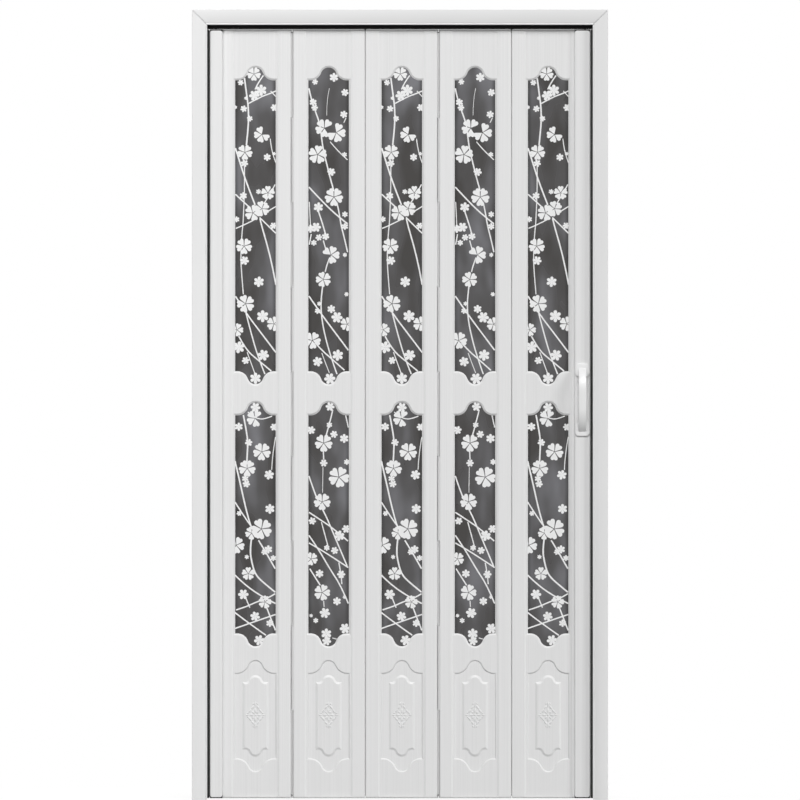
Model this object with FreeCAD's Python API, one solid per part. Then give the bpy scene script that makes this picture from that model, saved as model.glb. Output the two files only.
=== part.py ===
import FreeCAD, Part
import math
import os

# Accordion door in millimetres: X to the right, Y to the back, Z up.
# The origin is on the floor, in the middle of the frame's width and in the middle plane of the leaf.

# Leaf
leaf_height = 2030.0
floor_gap = 10.0
panel_count = 5
panel_pitch = 193.3
first_hinge_inset = 24.0
last_stile_face = 10.55
cap_height = 4.5

# Stiles, hollow profiles that grip the boards
stile_thickness = 14.0
stile_face = 37.65
stile_lip = 2.0
stile_wall = 2.0
board_grip = 8.0
grip_clearance = 0.4
plug_depth = 12.0
plug_clearance = 0.3

# Hinges
pin_radius = 0.9
pin_clearance = 0.05
barrel_radius = 1.8
barrel_clearance = 0.35
axis_depth = 0.8
hinge_edge_radius = 5.0
open_edge_gap = 0.6
open_edge_radius = 3.0
rebate_level = 0.5
knuckle_count = 9
knuckle_gap = 0.4
knuckle_margin = 9.0
pin_head_height = 2.0

# Windows: levels of the ogee shoulders from the leaf bottom, the highest one from the leaf top
window_width = 107.0
shoulder_flat = 6.0
window_rise = 34.0
window_crown_radius = 21.0
upper_window_low = 1127.5
upper_window_drop = 134.0
lower_window_low = 435.0
lower_window_high = 1011.0
window_bevel = 4.0
window_bevel_depth = 2.0
pane_thickness = 3.0
pane_margin = 6.0

# Moulded field below the windows
field_width = 112.0
field_rise = 34.0
field_low = 102.0
field_high = 331.0
field_depth = 1.4
field_slope = 2.0
centre_width = 68.8
centre_rise = 21.0
centre_crown_radius = 14.0
centre_shoulder_flat = 2.0
centre_low = 130.0
centre_high = 301.0
centre_slope = 5.0

# Posts
post_depth = 34.0
post_wall = 2.2
post_corner_radius = 4.0
jamb_lip_width = 34.0
jamb_lip_gap = 1.0
lead_post_width = 41.6
lead_slot_depth = 12.0
magnet_width = 10.0
magnet_depth = 3.0
lead_plug_depth = 25.0

# Handles
handle_height = 192.0
handle_reach = 30.0
handle_centre_above_leaf_bottom = 1052.0
bow_width = 21.0
bow_thickness = 8.0
bow_edge_radius = 2.5
foot_thickness = 5.0
foot_width = 39.0
foot_height = 36.0
foot_corner_radius = 12.0
foot_chamfer = 10.0
stud_radius = 2.0
stud_clearance = 0.05
stud_reach = 3.0
stud_inset = 18.0

# Frame
side_gap = 6.5
head_gap = 12.0
casing_width = 40.0
casing_thickness = 12.0
casing_front_gap = 8.0
casing_round = 3.0
bead_width = 5.5
bead_height = 9.5
bead_shoulder = 7.0
groove_width = 1.2
groove_floor = 6.0
casing_shoulder_radius = 1.5
lining_thickness = 16.0
head_lining_thickness = 22.0
lining_depth = 70.0
lining_setback = 2.0
fixing_hole_radius = 2.75
fixing_hole_low = 350.0
fixing_hole_spacing = 1400.0
fixing_hole_from_back = 13.0

# Track and trucks
track_width = 36.0
track_wall = 2.0
track_slot = 12.0
track_leaf_gap = 4.5
track_end_gap = 0.5
wheel_radius = 7.0
wheel_width = 6.0
wheel_offset = 10.5
wheel_chamfer = 0.6
wheel_running_gap = 0.1
axle_radius = 1.5
axle_clearance = 0.05
axle_overhang = 1.0
truck_length = 50.0
truck_slot_clearance = 1.0
truck_floor = 3.5
truck_floor_drop = 1.2
truck_top_cover = 4.9
hanger_radius = 2.5
hanger_clearance = 0.1
hanger_head_radius = 4.0
hanger_head_height = 2.4
lead_hanger_inset = 14.0

# Profiles at the two jambs
channel_half_width = 9.0
channel_wall = 2.5
channel_reach = 14.0
strike_gap = 2.2
strike_plate_thickness = 1.5
strike_plate_width = 16.0
strike_half_width = 14.0
strike_wall = 2.5

# Screws
screw_radius = 1.75
screw_clearance = 0.05
screw_head_radius = 3.5
screw_head_height = 2.0
screw_bite = 13.0
lining_screw_length = 50.0
lining_screw_spread = 30.0
track_screw_count = 5
jamb_screw_count = 4
screw_end_distance = 120.0

# Derived levels and lines
leaf_bottom = floor_gap
leaf_top = floor_gap + leaf_height
body_bottom = leaf_bottom + cap_height
body_top = leaf_top - cap_height
upper_window_high = leaf_height - upper_window_drop
board_face = panel_pitch - 2 * stile_face
last_panel_width = stile_face + board_face + last_stile_face
leaf_width = first_hinge_inset + (panel_count - 1) * panel_pitch + last_panel_width + lead_post_width
leaf_left = -leaf_width / 2
leaf_right = leaf_width / 2
stile_half = stile_thickness / 2
board_half = stile_half - stile_lip
board_width = board_face + 2 * board_grip
groove_floor_u = stile_face - board_grip - grip_clearance
axis_level = stile_half - axis_depth
edge_setback = barrel_radius + barrel_clearance
post_half = post_depth / 2
lead_post_left = leaf_right - lead_post_width
slot_floor = lead_post_left + lead_slot_depth
knuckle_bottom = leaf_bottom + knuckle_margin
knuckle_top = leaf_top - knuckle_margin
knuckle_pitch = (knuckle_top - knuckle_bottom) / knuckle_count
casing_inner = leaf_right + side_gap
casing_outer = casing_inner + casing_width
casing_head_low = leaf_top + head_gap
casing_head_top = casing_head_low + casing_width
casing_back = -post_half - casing_front_gap
lining_outer = casing_outer - lining_setback
lining_inner = lining_outer - lining_thickness
lining_back = casing_back + lining_depth
head_lining_top = casing_head_top - lining_setback
head_lining_low = head_lining_top - head_lining_thickness
track_low = leaf_top + track_leaf_gap
track_high = head_lining_low
track_line = axis_level
wheel_level = track_low + track_wall + wheel_running_gap + wheel_radius
truck_low = track_low + truck_floor_drop
truck_seat = truck_low + truck_floor
truck_high = wheel_level + truck_top_cover
truck_half_width = track_slot / 2 - truck_slot_clearance
strike_nose = leaf_right + strike_gap + strike_plate_thickness
lead_hanger_x = leaf_right - lead_hanger_inset
handle_x = (lead_post_left + leaf_right) / 2
handle_z = leaf_bottom + handle_centre_above_leaf_bottom
across = FreeCAD.Vector(1, 0, 0)
inward = FreeCAD.Vector(0, 1, 0)
upward = FreeCAD.Vector(0, 0, 1)
same_point = 1e-6


def block(x0, x1, y0, y1, z0, z1):
    return Part.makeBox(x1 - x0, y1 - y0, z1 - z0, FreeCAD.Vector(x0, y0, z0))


def upright_rod(x, y, z0, z1, radius):
    return Part.makeCylinder(radius, z1 - z0, FreeCAD.Vector(x, y, z0), upward)


def outline(start, steps, place):
    # A step is a point for a straight line, or a pair of points for an arc through the first to the second.
    edges = []
    here = start
    for step in steps + [start]:
        if isinstance(step[0], tuple):
            edges.append(Part.Arc(place(here), place(step[0]), place(step[1])).toShape())
            here = step[1]
        elif math.dist(here, step) > same_point:
            edges.append(Part.makeLine(place(here), place(step)))
            here = step
    return Part.Wire(edges)


def prism(start, steps, place, way):
    return Part.Face(outline(start, steps, place)).extrude(way)


def quarter(centre, radius, begin, end):
    # Arc step between two compass directions about a centre, taken through the middle direction.
    middle = (begin[0] + end[0], begin[1] + end[1])
    size = math.hypot(middle[0], middle[1])
    through = (centre[0] + radius * middle[0] / size, centre[1] + radius * middle[1] / size)
    return (through, (centre[0] + radius * end[0], centre[1] + radius * end[1]))


def hinge_line(number):
    return leaf_left + first_hinge_inset + number * panel_pitch


def hinge_side(number):
    # Even hinges turn about the back face, odd ones about the front face.
    return 1 if number % 2 == 0 else -1


def carries_truck(number):
    # The hinges at the back lie under the track, and all but the one at the jamb hang from a truck.
    return number > 0 and hinge_side(number) > 0


def hinge_edge():
    # Edge of a stile beside a hinge, from the open face to the face that holds the barrel.
    open_centre = (open_edge_gap + open_edge_radius, open_edge_radius - stile_half)
    barrel_centre = (edge_setback + hinge_edge_radius, stile_half - hinge_edge_radius)
    start = (open_centre[0], -stile_half)
    steps = [quarter(open_centre, open_edge_radius, (0, -1), (-1, 0))]
    steps.append((open_edge_gap, rebate_level))
    steps.append((edge_setback, rebate_level))
    steps.append((edge_setback, barrel_centre[1]))
    steps.append(quarter(barrel_centre, hinge_edge_radius, (-1, 0), (0, 1)))
    return start, steps


def knuckles(number, side, first):
    # Alternate barrels on one side of a hinge, each with a web that joins it to its stile or post.
    axis_x = hinge_line(number)
    face = hinge_side(number)
    reach = edge_setback + hinge_edge_radius / 2
    barrels = []
    for index in range(first, knuckle_count, 2):
        low = knuckle_bottom + index * knuckle_pitch + knuckle_gap / 2
        high = low + knuckle_pitch - knuckle_gap
        barrel = upright_rod(axis_x, face * axis_level, low, high, barrel_radius)
        web_x = sorted((axis_x, axis_x + side * reach))
        web_y = sorted((face * (axis_level - barrel_radius), face * (axis_level - barrel_clearance)))
        barrels.append(barrel.fuse(block(web_x[0], web_x[1], web_y[0], web_y[1], low, high)))
    return barrels


def pin_bore(number):
    radius = pin_radius + pin_clearance
    return upright_rod(hinge_line(number), hinge_side(number) * axis_level, leaf_bottom, leaf_top, radius)


def stile(number, side):
    # Hinged stile on one side of a hinge line.
    face = hinge_side(number)
    first = 1 if side > 0 else 0
    axis_x = hinge_line(number)

    def place(p):
        return FreeCAD.Vector(axis_x + side * p[0], face * p[1], body_bottom)

    start, steps = hinge_edge()
    steps.append((stile_face, stile_half))
    steps.append((stile_face, board_half))
    steps.append((groove_floor_u, board_half))
    steps.append((groove_floor_u, -board_half))
    steps.append((stile_face, -board_half))
    steps.append((stile_face, -stile_half))
    body = prism(start, steps, place, upward * (body_top - body_bottom))
    near = axis_x + side * chamber_near()
    far = axis_x + side * chamber_far()
    body = body.cut(chamber(near, far, 0))
    body = body.multiFuse(knuckles(number, side, first))
    return body.cut(pin_bore(number)).removeSplitter()


def chamber_near():
    return edge_setback + hinge_edge_radius


def chamber_far():
    return groove_floor_u - stile_wall


def chamber(x_a, x_b, clearance):
    low = min(x_a, x_b) + clearance
    high = max(x_a, x_b) - clearance
    half = stile_half - stile_wall - clearance
    return block(low, high, -half, half, body_bottom, body_top)


def last_stile():
    # Plain stile of the last panel, held in the slot of the lead post.
    low = board_right(panel_count)
    high = slot_floor
    body = block(low, high, -stile_half, stile_half, body_bottom, body_top)
    grip = low + board_grip + grip_clearance
    return body.cut(block(low, grip, -board_half, board_half, body_bottom, body_top))


def board_left(number):
    return hinge_line(number - 1) + stile_face


def board_right(number):
    return board_left(number) + board_face


def ogee(half_width, flat, rise, crown, low, high):
    # Upright outline with a bell-shaped end at the top and at the bottom, in X and Z about a centre line.
    half_span = half_width - flat
    radii = (half_span ** 2 + rise ** 2) / (2 * rise)
    flank = radii - crown
    toward = (half_span / radii, (rise - radii) / radii)
    meet = (flank * toward[0] - half_span, flank * toward[1] + flank)
    size = math.hypot(toward[0], toward[1] - 1)
    through = (flank * toward[0] / size - half_span, flank * (toward[1] - 1) / size + flank)
    start = (-half_width, low)
    steps = [(-half_width, high), (-half_span, high)]
    steps.append(((through[0], high + through[1]), (meet[0], high + meet[1])))
    steps.append(((0, high + rise), (-meet[0], high + meet[1])))
    steps.append(((-through[0], high + through[1]), (half_span, high)))
    steps += [(half_width, high), (half_width, low), (half_span, low)]
    steps.append(((-through[0], low - through[1]), (-meet[0], low - meet[1])))
    steps.append(((0, low - rise), (meet[0], low - meet[1])))
    steps.append(((through[0], low - through[1]), (-half_span, low)))
    return start, steps


def ogee_wire(width, flat, rise, crown, low, high, growth, level):
    # Ogee outline moved outward by a growth, at a level in Y.
    def place(p):
        return FreeCAD.Vector(p[0], level, leaf_bottom + p[1])

    start, steps = ogee(width / 2 + growth, flat + growth, rise, crown + growth, low - growth, high + growth)
    return outline(start, steps, place)


def ogee_cutter(width, flat, rise, crown, low, high, slope, depth, face):
    # Sloping-sided body that starts at a board face and narrows on its way in.
    outside = face * (board_half + depth)
    inside = face * (board_half - depth)
    wide = ogee_wire(width, flat, rise, crown, low, high, 2 * slope, outside)
    narrow = ogee_wire(width, flat, rise, crown, low, high, 0, inside)
    return Part.makeLoft([wide, narrow], True, True)


def centre_body(face):
    # Raised centre of the moulded field, widening on its way into the board.
    top = ogee_wire(centre_width, centre_shoulder_flat, centre_rise, centre_crown_radius,
                    centre_low, centre_high, 0, face * board_half)
    foot = ogee_wire(centre_width, centre_shoulder_flat, centre_rise, centre_crown_radius,
                     centre_low, centre_high, centre_slope, face * (board_half - field_depth))
    return Part.makeLoft([top, foot], True, True)


def field_floor(face):
    flat = shoulder_flat
    wide = ogee_wire(field_width, flat, field_rise, window_crown_radius, field_low, field_high,
                     0, face * board_half)
    narrow = ogee_wire(field_width, flat, field_rise, window_crown_radius, field_low, field_high,
                       -field_slope, face * (board_half - field_depth))
    return Part.makeLoft([wide, narrow], True, True)


def window_limits():
    return [(lower_window_low, lower_window_high), (upper_window_low, upper_window_high)]


def pane_box(low, high, half_width, right):
    bottom = leaf_bottom + low - window_rise - pane_margin
    top = leaf_bottom + high + window_rise + pane_margin
    half = pane_thickness / 2
    return block(-half_width, right, -half, half, bottom, top)


def board():
    # Moulded board about its own centre line: two windows, pane slots open at the right edge, one field.
    half_width = board_width / 2
    body = block(-half_width, half_width, -board_half, board_half, body_bottom, body_top)
    pane_half = window_width / 2 + pane_margin
    for low, high in window_limits():
        opening = ogee_wire(window_width, shoulder_flat, window_rise, window_crown_radius, low, high, 0, -board_half)
        body = body.cut(Part.Face(opening).extrude(inward * (2 * board_half)))
        for face in (-1, 1):
            body = body.cut(ogee_cutter(window_width, shoulder_flat, window_rise, window_crown_radius,
                                        low, high, window_bevel, window_bevel_depth, face))
        body = body.cut(pane_box(low, high, pane_half, half_width))
    for face in (-1, 1):
        body = body.cut(field_floor(face).cut(centre_body(face)))
    return body


def panes():
    pane_half = window_width / 2 + pane_margin
    return Part.makeCompound([pane_box(low, high, pane_half, pane_half) for low, high in window_limits()])


def panel_caps(number):
    # Flat caps that close the top and the bottom of a panel, with plugs in the hollow stiles.
    left = hinge_line(number - 1)
    right = hinge_line(number)
    left_face = hinge_side(number - 1)
    right_face = hinge_side(number)
    last = number == panel_count
    middle = (left + stile_face + board_right(number)) / 2
    caps = []
    for low, plug_low, plug_high in ((leaf_bottom, body_bottom, body_bottom + plug_depth),
                                     (body_top, body_top - plug_depth, body_top)):
        start, steps = hinge_edge()
        steps += [(middle - left, stile_half), (middle - left, -stile_half)]
        cap = prism(start, steps, lambda p: FreeCAD.Vector(left + p[0], left_face * p[1], low), upward * cap_height)
        plug = chamber(left + chamber_near(), left + chamber_far(), plug_clearance)
        if last:
            rest = block(middle, lead_post_left, -stile_half, stile_half, low, low + cap_height)
        else:
            start, steps = hinge_edge()
            steps += [(right - middle, stile_half), (right - middle, -stile_half)]
            rest = prism(start, steps, lambda p: FreeCAD.Vector(right - p[0], right_face * p[1], low),
                         upward * cap_height)
            plug = plug.fuse(chamber(right - chamber_near(), right - chamber_far(), plug_clearance))
        plug = plug.common(block(left, right, -stile_half, stile_half, plug_low, plug_high))
        caps.append(cap.multiFuse([rest, plug]).removeSplitter())
    return Part.makeCompound(caps)


def hinge_pin(number):
    # Long pin with a head at each end; pins that carry a truck go on upward as a hanger with its own head.
    x = hinge_line(number)
    y = hinge_side(number) * axis_level
    low = knuckle_bottom - knuckle_gap
    high = knuckle_top + knuckle_gap
    pin = upright_rod(x, y, low, high, pin_radius)
    pin = pin.fuse(upright_rod(x, y, low - pin_head_height, low, barrel_radius))
    if carries_truck(number):
        return pin.multiFuse(hanger(x, high)).removeSplitter()
    return pin.fuse(upright_rod(x, y, high, high + pin_head_height, barrel_radius)).removeSplitter()


def hanger(x, low):
    shank = upright_rod(x, track_line, low, truck_seat, hanger_radius)
    return [shank, upright_rod(x, track_line, truck_seat, truck_seat + hanger_head_height, hanger_head_radius)]


def truck(x):
    # Block that rides in the track slot, with a fixed axle and a slot from one end for the hanger's head.
    half = truck_length / 2
    body = block(x - half, x + half, track_line - truck_half_width, track_line + truck_half_width,
                 truck_low, truck_high)
    head_half = hanger_head_radius + hanger_clearance
    shank_half = hanger_radius + hanger_clearance
    head_top = truck_seat + hanger_head_height + hanger_clearance
    body = body.cut(block(x - head_half, x + half, track_line - truck_half_width, track_line + truck_half_width,
                          truck_seat, head_top))
    body = body.cut(block(x, x + half, track_line - shank_half, track_line + shank_half, truck_low, truck_seat))
    body = body.cut(upright_rod(x, track_line, truck_low, truck_seat, shank_half))
    length = 2 * wheel_offset + wheel_width + 2 * axle_overhang
    axle = Part.makeCylinder(axle_radius, length, FreeCAD.Vector(x, track_line - length / 2, wheel_level), inward)
    return body.fuse(axle).removeSplitter()


def wheels(x):
    pair = []
    for side in (-1, 1):
        near = track_line + side * wheel_offset - wheel_width / 2
        foot = FreeCAD.Vector(x, near, wheel_level)
        rim = Part.makeCylinder(wheel_radius, wheel_width, foot, inward)
        rim = rim.makeChamfer(wheel_chamfer, rim.Edges)
        pair.append(rim.cut(Part.makeCylinder(axle_radius + axle_clearance, wheel_width, foot, inward)))
    return Part.makeCompound(pair)


def track():
    end = lining_inner - track_end_gap
    half = track_width / 2
    inner = half - track_wall
    body = block(-end, end, track_line - half, track_line + half, track_low, track_high)
    body = body.cut(block(-end, end, track_line - inner, track_line + inner,
                          track_low + track_wall, track_high - track_wall))
    body = body.cut(block(-end, end, track_line - track_slot / 2, track_line + track_slot / 2,
                          track_low, track_low + track_wall))
    for x in track_screw_places():
        hole = upright_rod(x, track_line, track_low, track_high, screw_radius + screw_clearance)
        body = body.cut(hole)
    return body


def spread(low, high, count):
    return [low + (high - low) * index / (count - 1) for index in range(count)]


def track_screw_places():
    return spread(screw_end_distance - lining_inner, lining_inner - screw_end_distance, track_screw_count)


def jamb_screw_places():
    return spread(screw_end_distance, head_lining_low - screw_end_distance, jamb_screw_count)


def screw(place, way, bite):
    # Pan-head screw whose head sits on a surface at a place, with its shank going the given way.
    head = Part.makeCylinder(screw_head_radius, screw_head_height, place - way * screw_head_height, way)
    return head.fuse(Part.makeCylinder(screw_radius, bite, place, way)).removeSplitter()


def screw_hole(place, way, bite):
    return Part.makeCylinder(screw_radius + screw_clearance, bite + screw_clearance, place, way)


def track_screw_seats():
    return [FreeCAD.Vector(x, track_line, track_high - track_wall) for x in track_screw_places()]


def jamb_screw_seats(side, wall):
    return [FreeCAD.Vector(side * (lining_inner - wall), 0, z) for z in jamb_screw_places()]


def lining_screw_seats(side):
    middle = (casing_back + lining_back) / 2
    x = side * (lining_inner + lining_outer) / 2
    return [FreeCAD.Vector(x, middle + shift, head_lining_top - screw_head_height)
            for shift in (-lining_screw_spread / 2, lining_screw_spread / 2)]


def screws(seats, way, bite):
    return Part.makeCompound([screw(place, way, bite) for place in seats])


def side_lining(side):
    x = sorted((side * lining_inner, side * lining_outer))
    body = block(x[0], x[1], casing_back, lining_back, 0, head_lining_low)
    wall = channel_wall if side < 0 else strike_wall
    for place in jamb_screw_seats(side, wall):
        body = body.cut(screw_hole(place, across * side, wall + screw_bite))
    for place in lining_screw_seats(side):
        body = body.cut(screw_hole(place, -upward, lining_screw_length))
    for level in (fixing_hole_low, fixing_hole_low + fixing_hole_spacing):
        place = FreeCAD.Vector(x[0], lining_back - fixing_hole_from_back, level)
        body = body.cut(Part.makeCylinder(fixing_hole_radius, lining_thickness, place, across))
    return body


def head_lining():
    body = block(-lining_outer, lining_outer, casing_back, lining_back, head_lining_low, head_lining_top)
    for place in track_screw_seats():
        body = body.cut(screw_hole(place, upward, screw_bite))
    for side in (-1, 1):
        for place in lining_screw_seats(side):
            body = body.cut(screw_hole(place, -upward, lining_screw_length))
            seat = Part.makeCylinder(screw_head_radius + screw_clearance, screw_head_height, place, upward)
            body = body.cut(seat)
    return body


def casing_section():
    # Section from the inner edge outward: bead, shadow groove, broad face and a rounded outer edge.
    half_bead = bead_width / 2
    face_start = bead_width + groove_width
    shoulder = (face_start + casing_shoulder_radius, casing_thickness - casing_shoulder_radius)
    corner = (casing_width - casing_round, casing_thickness - casing_round)
    steps = [(0, bead_shoulder), ((half_bead, bead_height), (bead_width, bead_shoulder))]
    steps += [(bead_width, groove_floor), (face_start, groove_floor), (face_start, shoulder[1])]
    steps.append(quarter(shoulder, casing_shoulder_radius, (-1, 0), (0, 1)))
    steps.append((corner[0], casing_thickness))
    steps.append(quarter(corner, casing_round, (0, 1), (1, 0)))
    steps.append((casing_width, 0))
    return (0, 0), steps


def mitre_wedge(side):
    # Triangular body over the corner of the frame, on the head's side of the mitre.
    def place(p):
        return FreeCAD.Vector(side * p[0], casing_back - casing_thickness, p[1])

    steps = [(casing_outer, casing_head_top), (casing_inner, casing_head_top)]
    return prism((casing_inner, casing_head_low), steps, place, inward * casing_thickness)


def side_casing(side):
    start, steps = casing_section()
    body = prism(start, steps, lambda p: FreeCAD.Vector(side * (casing_inner + p[0]), casing_back - p[1], 0),
                 upward * casing_head_top)
    return body.cut(mitre_wedge(side))


def head_casing():
    start, steps = casing_section()
    body = prism(start, steps,
                 lambda p: FreeCAD.Vector(-casing_inner, casing_back - p[1], casing_head_low + p[0]),
                 across * (2 * casing_inner))
    corners = []
    for side in (-1, 1):
        x = sorted((side * casing_inner, side * casing_outer))
        strip = prism(start, steps,
                      lambda p: FreeCAD.Vector(x[0], casing_back - p[1], casing_head_low + p[0]),
                      across * casing_width)
        corners.append(strip.common(mitre_wedge(side)))
    return body.multiFuse(corners).removeSplitter()


def wall_channel():
    # Channel on the left lining, its two legs reaching into the jamb post.
    base = -lining_inner
    reach = leaf_left + channel_reach
    half = channel_half_width
    body = block(base, reach, -half, half, body_bottom, body_top)
    body = body.cut(block(base + channel_wall, reach, channel_wall - half, half - channel_wall, body_bottom, body_top))
    for place in jamb_screw_seats(-1, channel_wall):
        body = body.cut(screw_hole(place, -across, channel_wall))
    return body


def jamb_outline():
    # Outer outline of the jamb post, with the lip that covers the first hinge at the front.
    radius = post_corner_radius
    right = hinge_line(0) - edge_setback
    lip_right = leaf_left + jamb_lip_width
    lip_back = -(stile_half + jamb_lip_gap)
    start = (leaf_left + radius, -post_half)
    steps = [(lip_right - radius, -post_half)]
    steps.append(quarter((lip_right - radius, radius - post_half), radius, (0, -1), (1, 0)))
    steps += [(lip_right, lip_back), (right, lip_back), (right, post_half - radius)]
    steps.append(quarter((right - radius, post_half - radius), radius, (1, 0), (0, 1)))
    steps.append((leaf_left + radius, post_half))
    steps.append(quarter((leaf_left + radius, post_half - radius), radius, (0, 1), (-1, 0)))
    steps.append((leaf_left, radius - post_half))
    steps.append(quarter((leaf_left + radius, radius - post_half), radius, (-1, 0), (0, -1)))
    return start, steps


def jamb_chamber(clearance):
    right = hinge_line(0) - edge_setback - post_wall
    half = post_half - post_wall - clearance
    return block(leaf_left + post_wall + clearance, right - clearance, -half, half, body_bottom, body_top)


def jamb_post():
    start, steps = jamb_outline()
    body = prism(start, steps, lambda p: FreeCAD.Vector(p[0], p[1], body_bottom), upward * (body_top - body_bottom))
    body = body.cut(jamb_chamber(0))
    half = channel_half_width
    body = body.cut(block(leaf_left, leaf_left + post_wall, -half, half, body_bottom, body_top))
    body = body.multiFuse(knuckles(0, -1, 0))
    return body.cut(pin_bore(0)).removeSplitter()


def rounded_ends(x0, x1):
    # Front outline of a post with rounded corners, running through its whole depth.
    radius = cap_height
    corners = [((x0, leaf_bottom), (1, 1)), ((x1, leaf_bottom), (-1, 1)),
               ((x1, leaf_top), (-1, -1)), ((x0, leaf_top), (1, -1))]
    body = block(x0, x1, -post_half, post_half, leaf_bottom, leaf_top)
    for corner, way in corners:
        middle = (corner[0] + way[0] * radius, corner[1] + way[1] * radius)
        x = sorted((corner[0], middle[0]))
        z = sorted((corner[1], middle[1]))
        square = block(x[0], x[1], -post_half, post_half, z[0], z[1])
        foot = FreeCAD.Vector(middle[0], -post_half, middle[1])
        body = body.cut(square.cut(Part.makeCylinder(radius, post_depth, foot, inward)))
    return body


def jamb_caps():
    start, steps = jamb_outline()
    caps = []
    for low in (leaf_bottom, body_top):
        caps.append(prism(start, steps, lambda p: FreeCAD.Vector(p[0], p[1], low), upward * cap_height))
    shape = rounded_ends(leaf_left, leaf_left + jamb_lip_width)
    return Part.makeCompound([cap.common(shape) for cap in caps])


def lead_outline():
    radius = post_corner_radius
    start = (lead_post_left + radius, -post_half)
    steps = [(leaf_right - radius, -post_half)]
    steps.append(quarter((leaf_right - radius, radius - post_half), radius, (0, -1), (1, 0)))
    steps.append((leaf_right, post_half - radius))
    steps.append(quarter((leaf_right - radius, post_half - radius), radius, (1, 0), (0, 1)))
    steps.append((lead_post_left + radius, post_half))
    steps.append(quarter((lead_post_left + radius, post_half - radius), radius, (0, 1), (-1, 0)))
    steps.append((lead_post_left, radius - post_half))
    steps.append(quarter((lead_post_left + radius, radius - post_half), radius, (-1, 0), (0, -1)))
    return start, steps


def lead_chamber(clearance):
    half = post_half - post_wall - clearance
    left = slot_floor + post_wall + clearance
    right = leaf_right - magnet_depth - post_wall - clearance
    return block(left, right, -half, half, body_bottom, body_top)


def stud_places():
    reach = handle_height / 2 - stud_inset
    return [handle_z - reach, handle_z + reach]


def lead_post():
    start, steps = lead_outline()
    body = prism(start, steps, lambda p: FreeCAD.Vector(p[0], p[1], body_bottom), upward * (body_top - body_bottom))
    body = body.cut(block(lead_post_left, slot_floor, -stile_half, stile_half, body_bottom, body_top))
    body = body.cut(lead_chamber(0))
    body = body.cut(lead_magnet())
    for z in stud_places():
        foot = FreeCAD.Vector(handle_x, -post_half, z)
        body = body.cut(Part.makeCylinder(stud_radius + stud_clearance, post_depth, foot, inward))
    return body


def lead_magnet():
    half = magnet_width / 2
    return block(leaf_right - magnet_depth, leaf_right, -half, half, body_bottom, body_top)


def lead_caps():
    # Caps of the lead post, the upper one with a plug that takes the hanger bolt.
    start, steps = lead_outline()
    shape = rounded_ends(lead_post_left, leaf_right)
    caps = []
    for low, depth in ((leaf_bottom, plug_depth), (body_top, lead_plug_depth)):
        cap = prism(start, steps, lambda p: FreeCAD.Vector(p[0], p[1], low), upward * cap_height).common(shape)
        plug_low = body_bottom if low == leaf_bottom else body_top - depth
        zone = block(lead_post_left, leaf_right, -post_half, post_half, plug_low, plug_low + depth)
        caps.append(cap.fuse(lead_chamber(plug_clearance).common(zone)).removeSplitter())
    bore = upright_rod(lead_hanger_x, track_line, body_top - lead_plug_depth, leaf_top,
                       hanger_radius + pin_clearance)
    return Part.makeCompound([caps[0], caps[1].cut(bore)])


def lead_hanger():
    parts = hanger(lead_hanger_x, body_top - lead_plug_depth)
    return parts[0].fuse(parts[1]).removeSplitter()


def foot_plate(upward_side):
    # Foot of a handle in X and Z: the upper one rounded, the lower one with two cut corners.
    half = foot_width / 2
    outer = handle_height / 2
    inner = outer - foot_height
    radius = foot_corner_radius

    def place(p):
        return FreeCAD.Vector(handle_x + p[0], -post_half, handle_z + upward_side * p[1])

    if upward_side > 0:
        steps = [(half - radius, outer), quarter((half - radius, outer - radius), radius, (0, 1), (1, 0))]
    else:
        steps = [(half - foot_chamfer, outer), (half, outer - foot_chamfer)]
    steps.append((half, inner + radius))
    steps.append(quarter((half - radius, inner + radius), radius, (1, 0), (0, -1)))
    steps.append((radius - half, inner))
    steps.append(quarter((radius - half, inner + radius), radius, (0, -1), (-1, 0)))
    if upward_side > 0:
        steps.append((-half, outer - radius))
        steps.append(quarter((radius - half, outer - radius), radius, (-1, 0), (0, 1)))
        start = (radius - half, outer)
    else:
        steps.append((-half, outer - foot_chamfer))
        start = (foot_chamfer - half, outer)
    return prism(start, steps, place, inward * -foot_thickness)


def handle_bow():
    # Arched bar between the two feet, with its edges rounded along the arch.
    outer = handle_height / 2 - foot_height / 4
    inner = handle_height / 2 - foot_height * 3 / 4
    reach = handle_reach
    gap = handle_reach - bow_thickness

    def place(p):
        return FreeCAD.Vector(handle_x - bow_width / 2, -post_half - p[0], handle_z + p[1])

    low = foot_thickness / 2
    steps = [((reach, 0), (low, outer)), (low, inner), ((gap, 0), (low, -inner))]
    bar = prism((low, -outer), steps, place, across * bow_width)
    long_edges = [edge for edge in bar.Edges if edge.Length > handle_height / 2]
    return bar.makeFillet(bow_edge_radius, long_edges)


def front_handle():
    body = handle_bow().multiFuse([foot_plate(1), foot_plate(-1)]).removeSplitter()
    for z in stud_places():
        foot = FreeCAD.Vector(handle_x, -post_half - stud_reach - stud_clearance, z)
        body = body.cut(Part.makeCylinder(stud_radius + stud_clearance, stud_reach + stud_clearance, foot, inward))
    return body


def handle_studs():
    length = post_depth + 2 * stud_reach
    studs = []
    for z in stud_places():
        foot = FreeCAD.Vector(handle_x, -post_half - stud_reach, z)
        studs.append(Part.makeCylinder(stud_radius, length, foot, inward))
    return Part.makeCompound(studs)


def strike_profile():
    half = strike_half_width
    body = block(strike_nose, lining_inner, -half, half, leaf_bottom, leaf_top)
    body = body.cut(block(strike_nose + strike_wall, lining_inner - strike_wall, strike_wall - half, half - strike_wall,
                          leaf_bottom, leaf_top))
    for place in jamb_screw_seats(1, strike_wall):
        body = body.cut(screw_hole(place, across, strike_wall))
    return body


def strike_plate():
    half = strike_plate_width / 2
    return block(strike_nose - strike_plate_thickness, strike_nose, -half, half, leaf_bottom, leaf_top)


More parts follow.
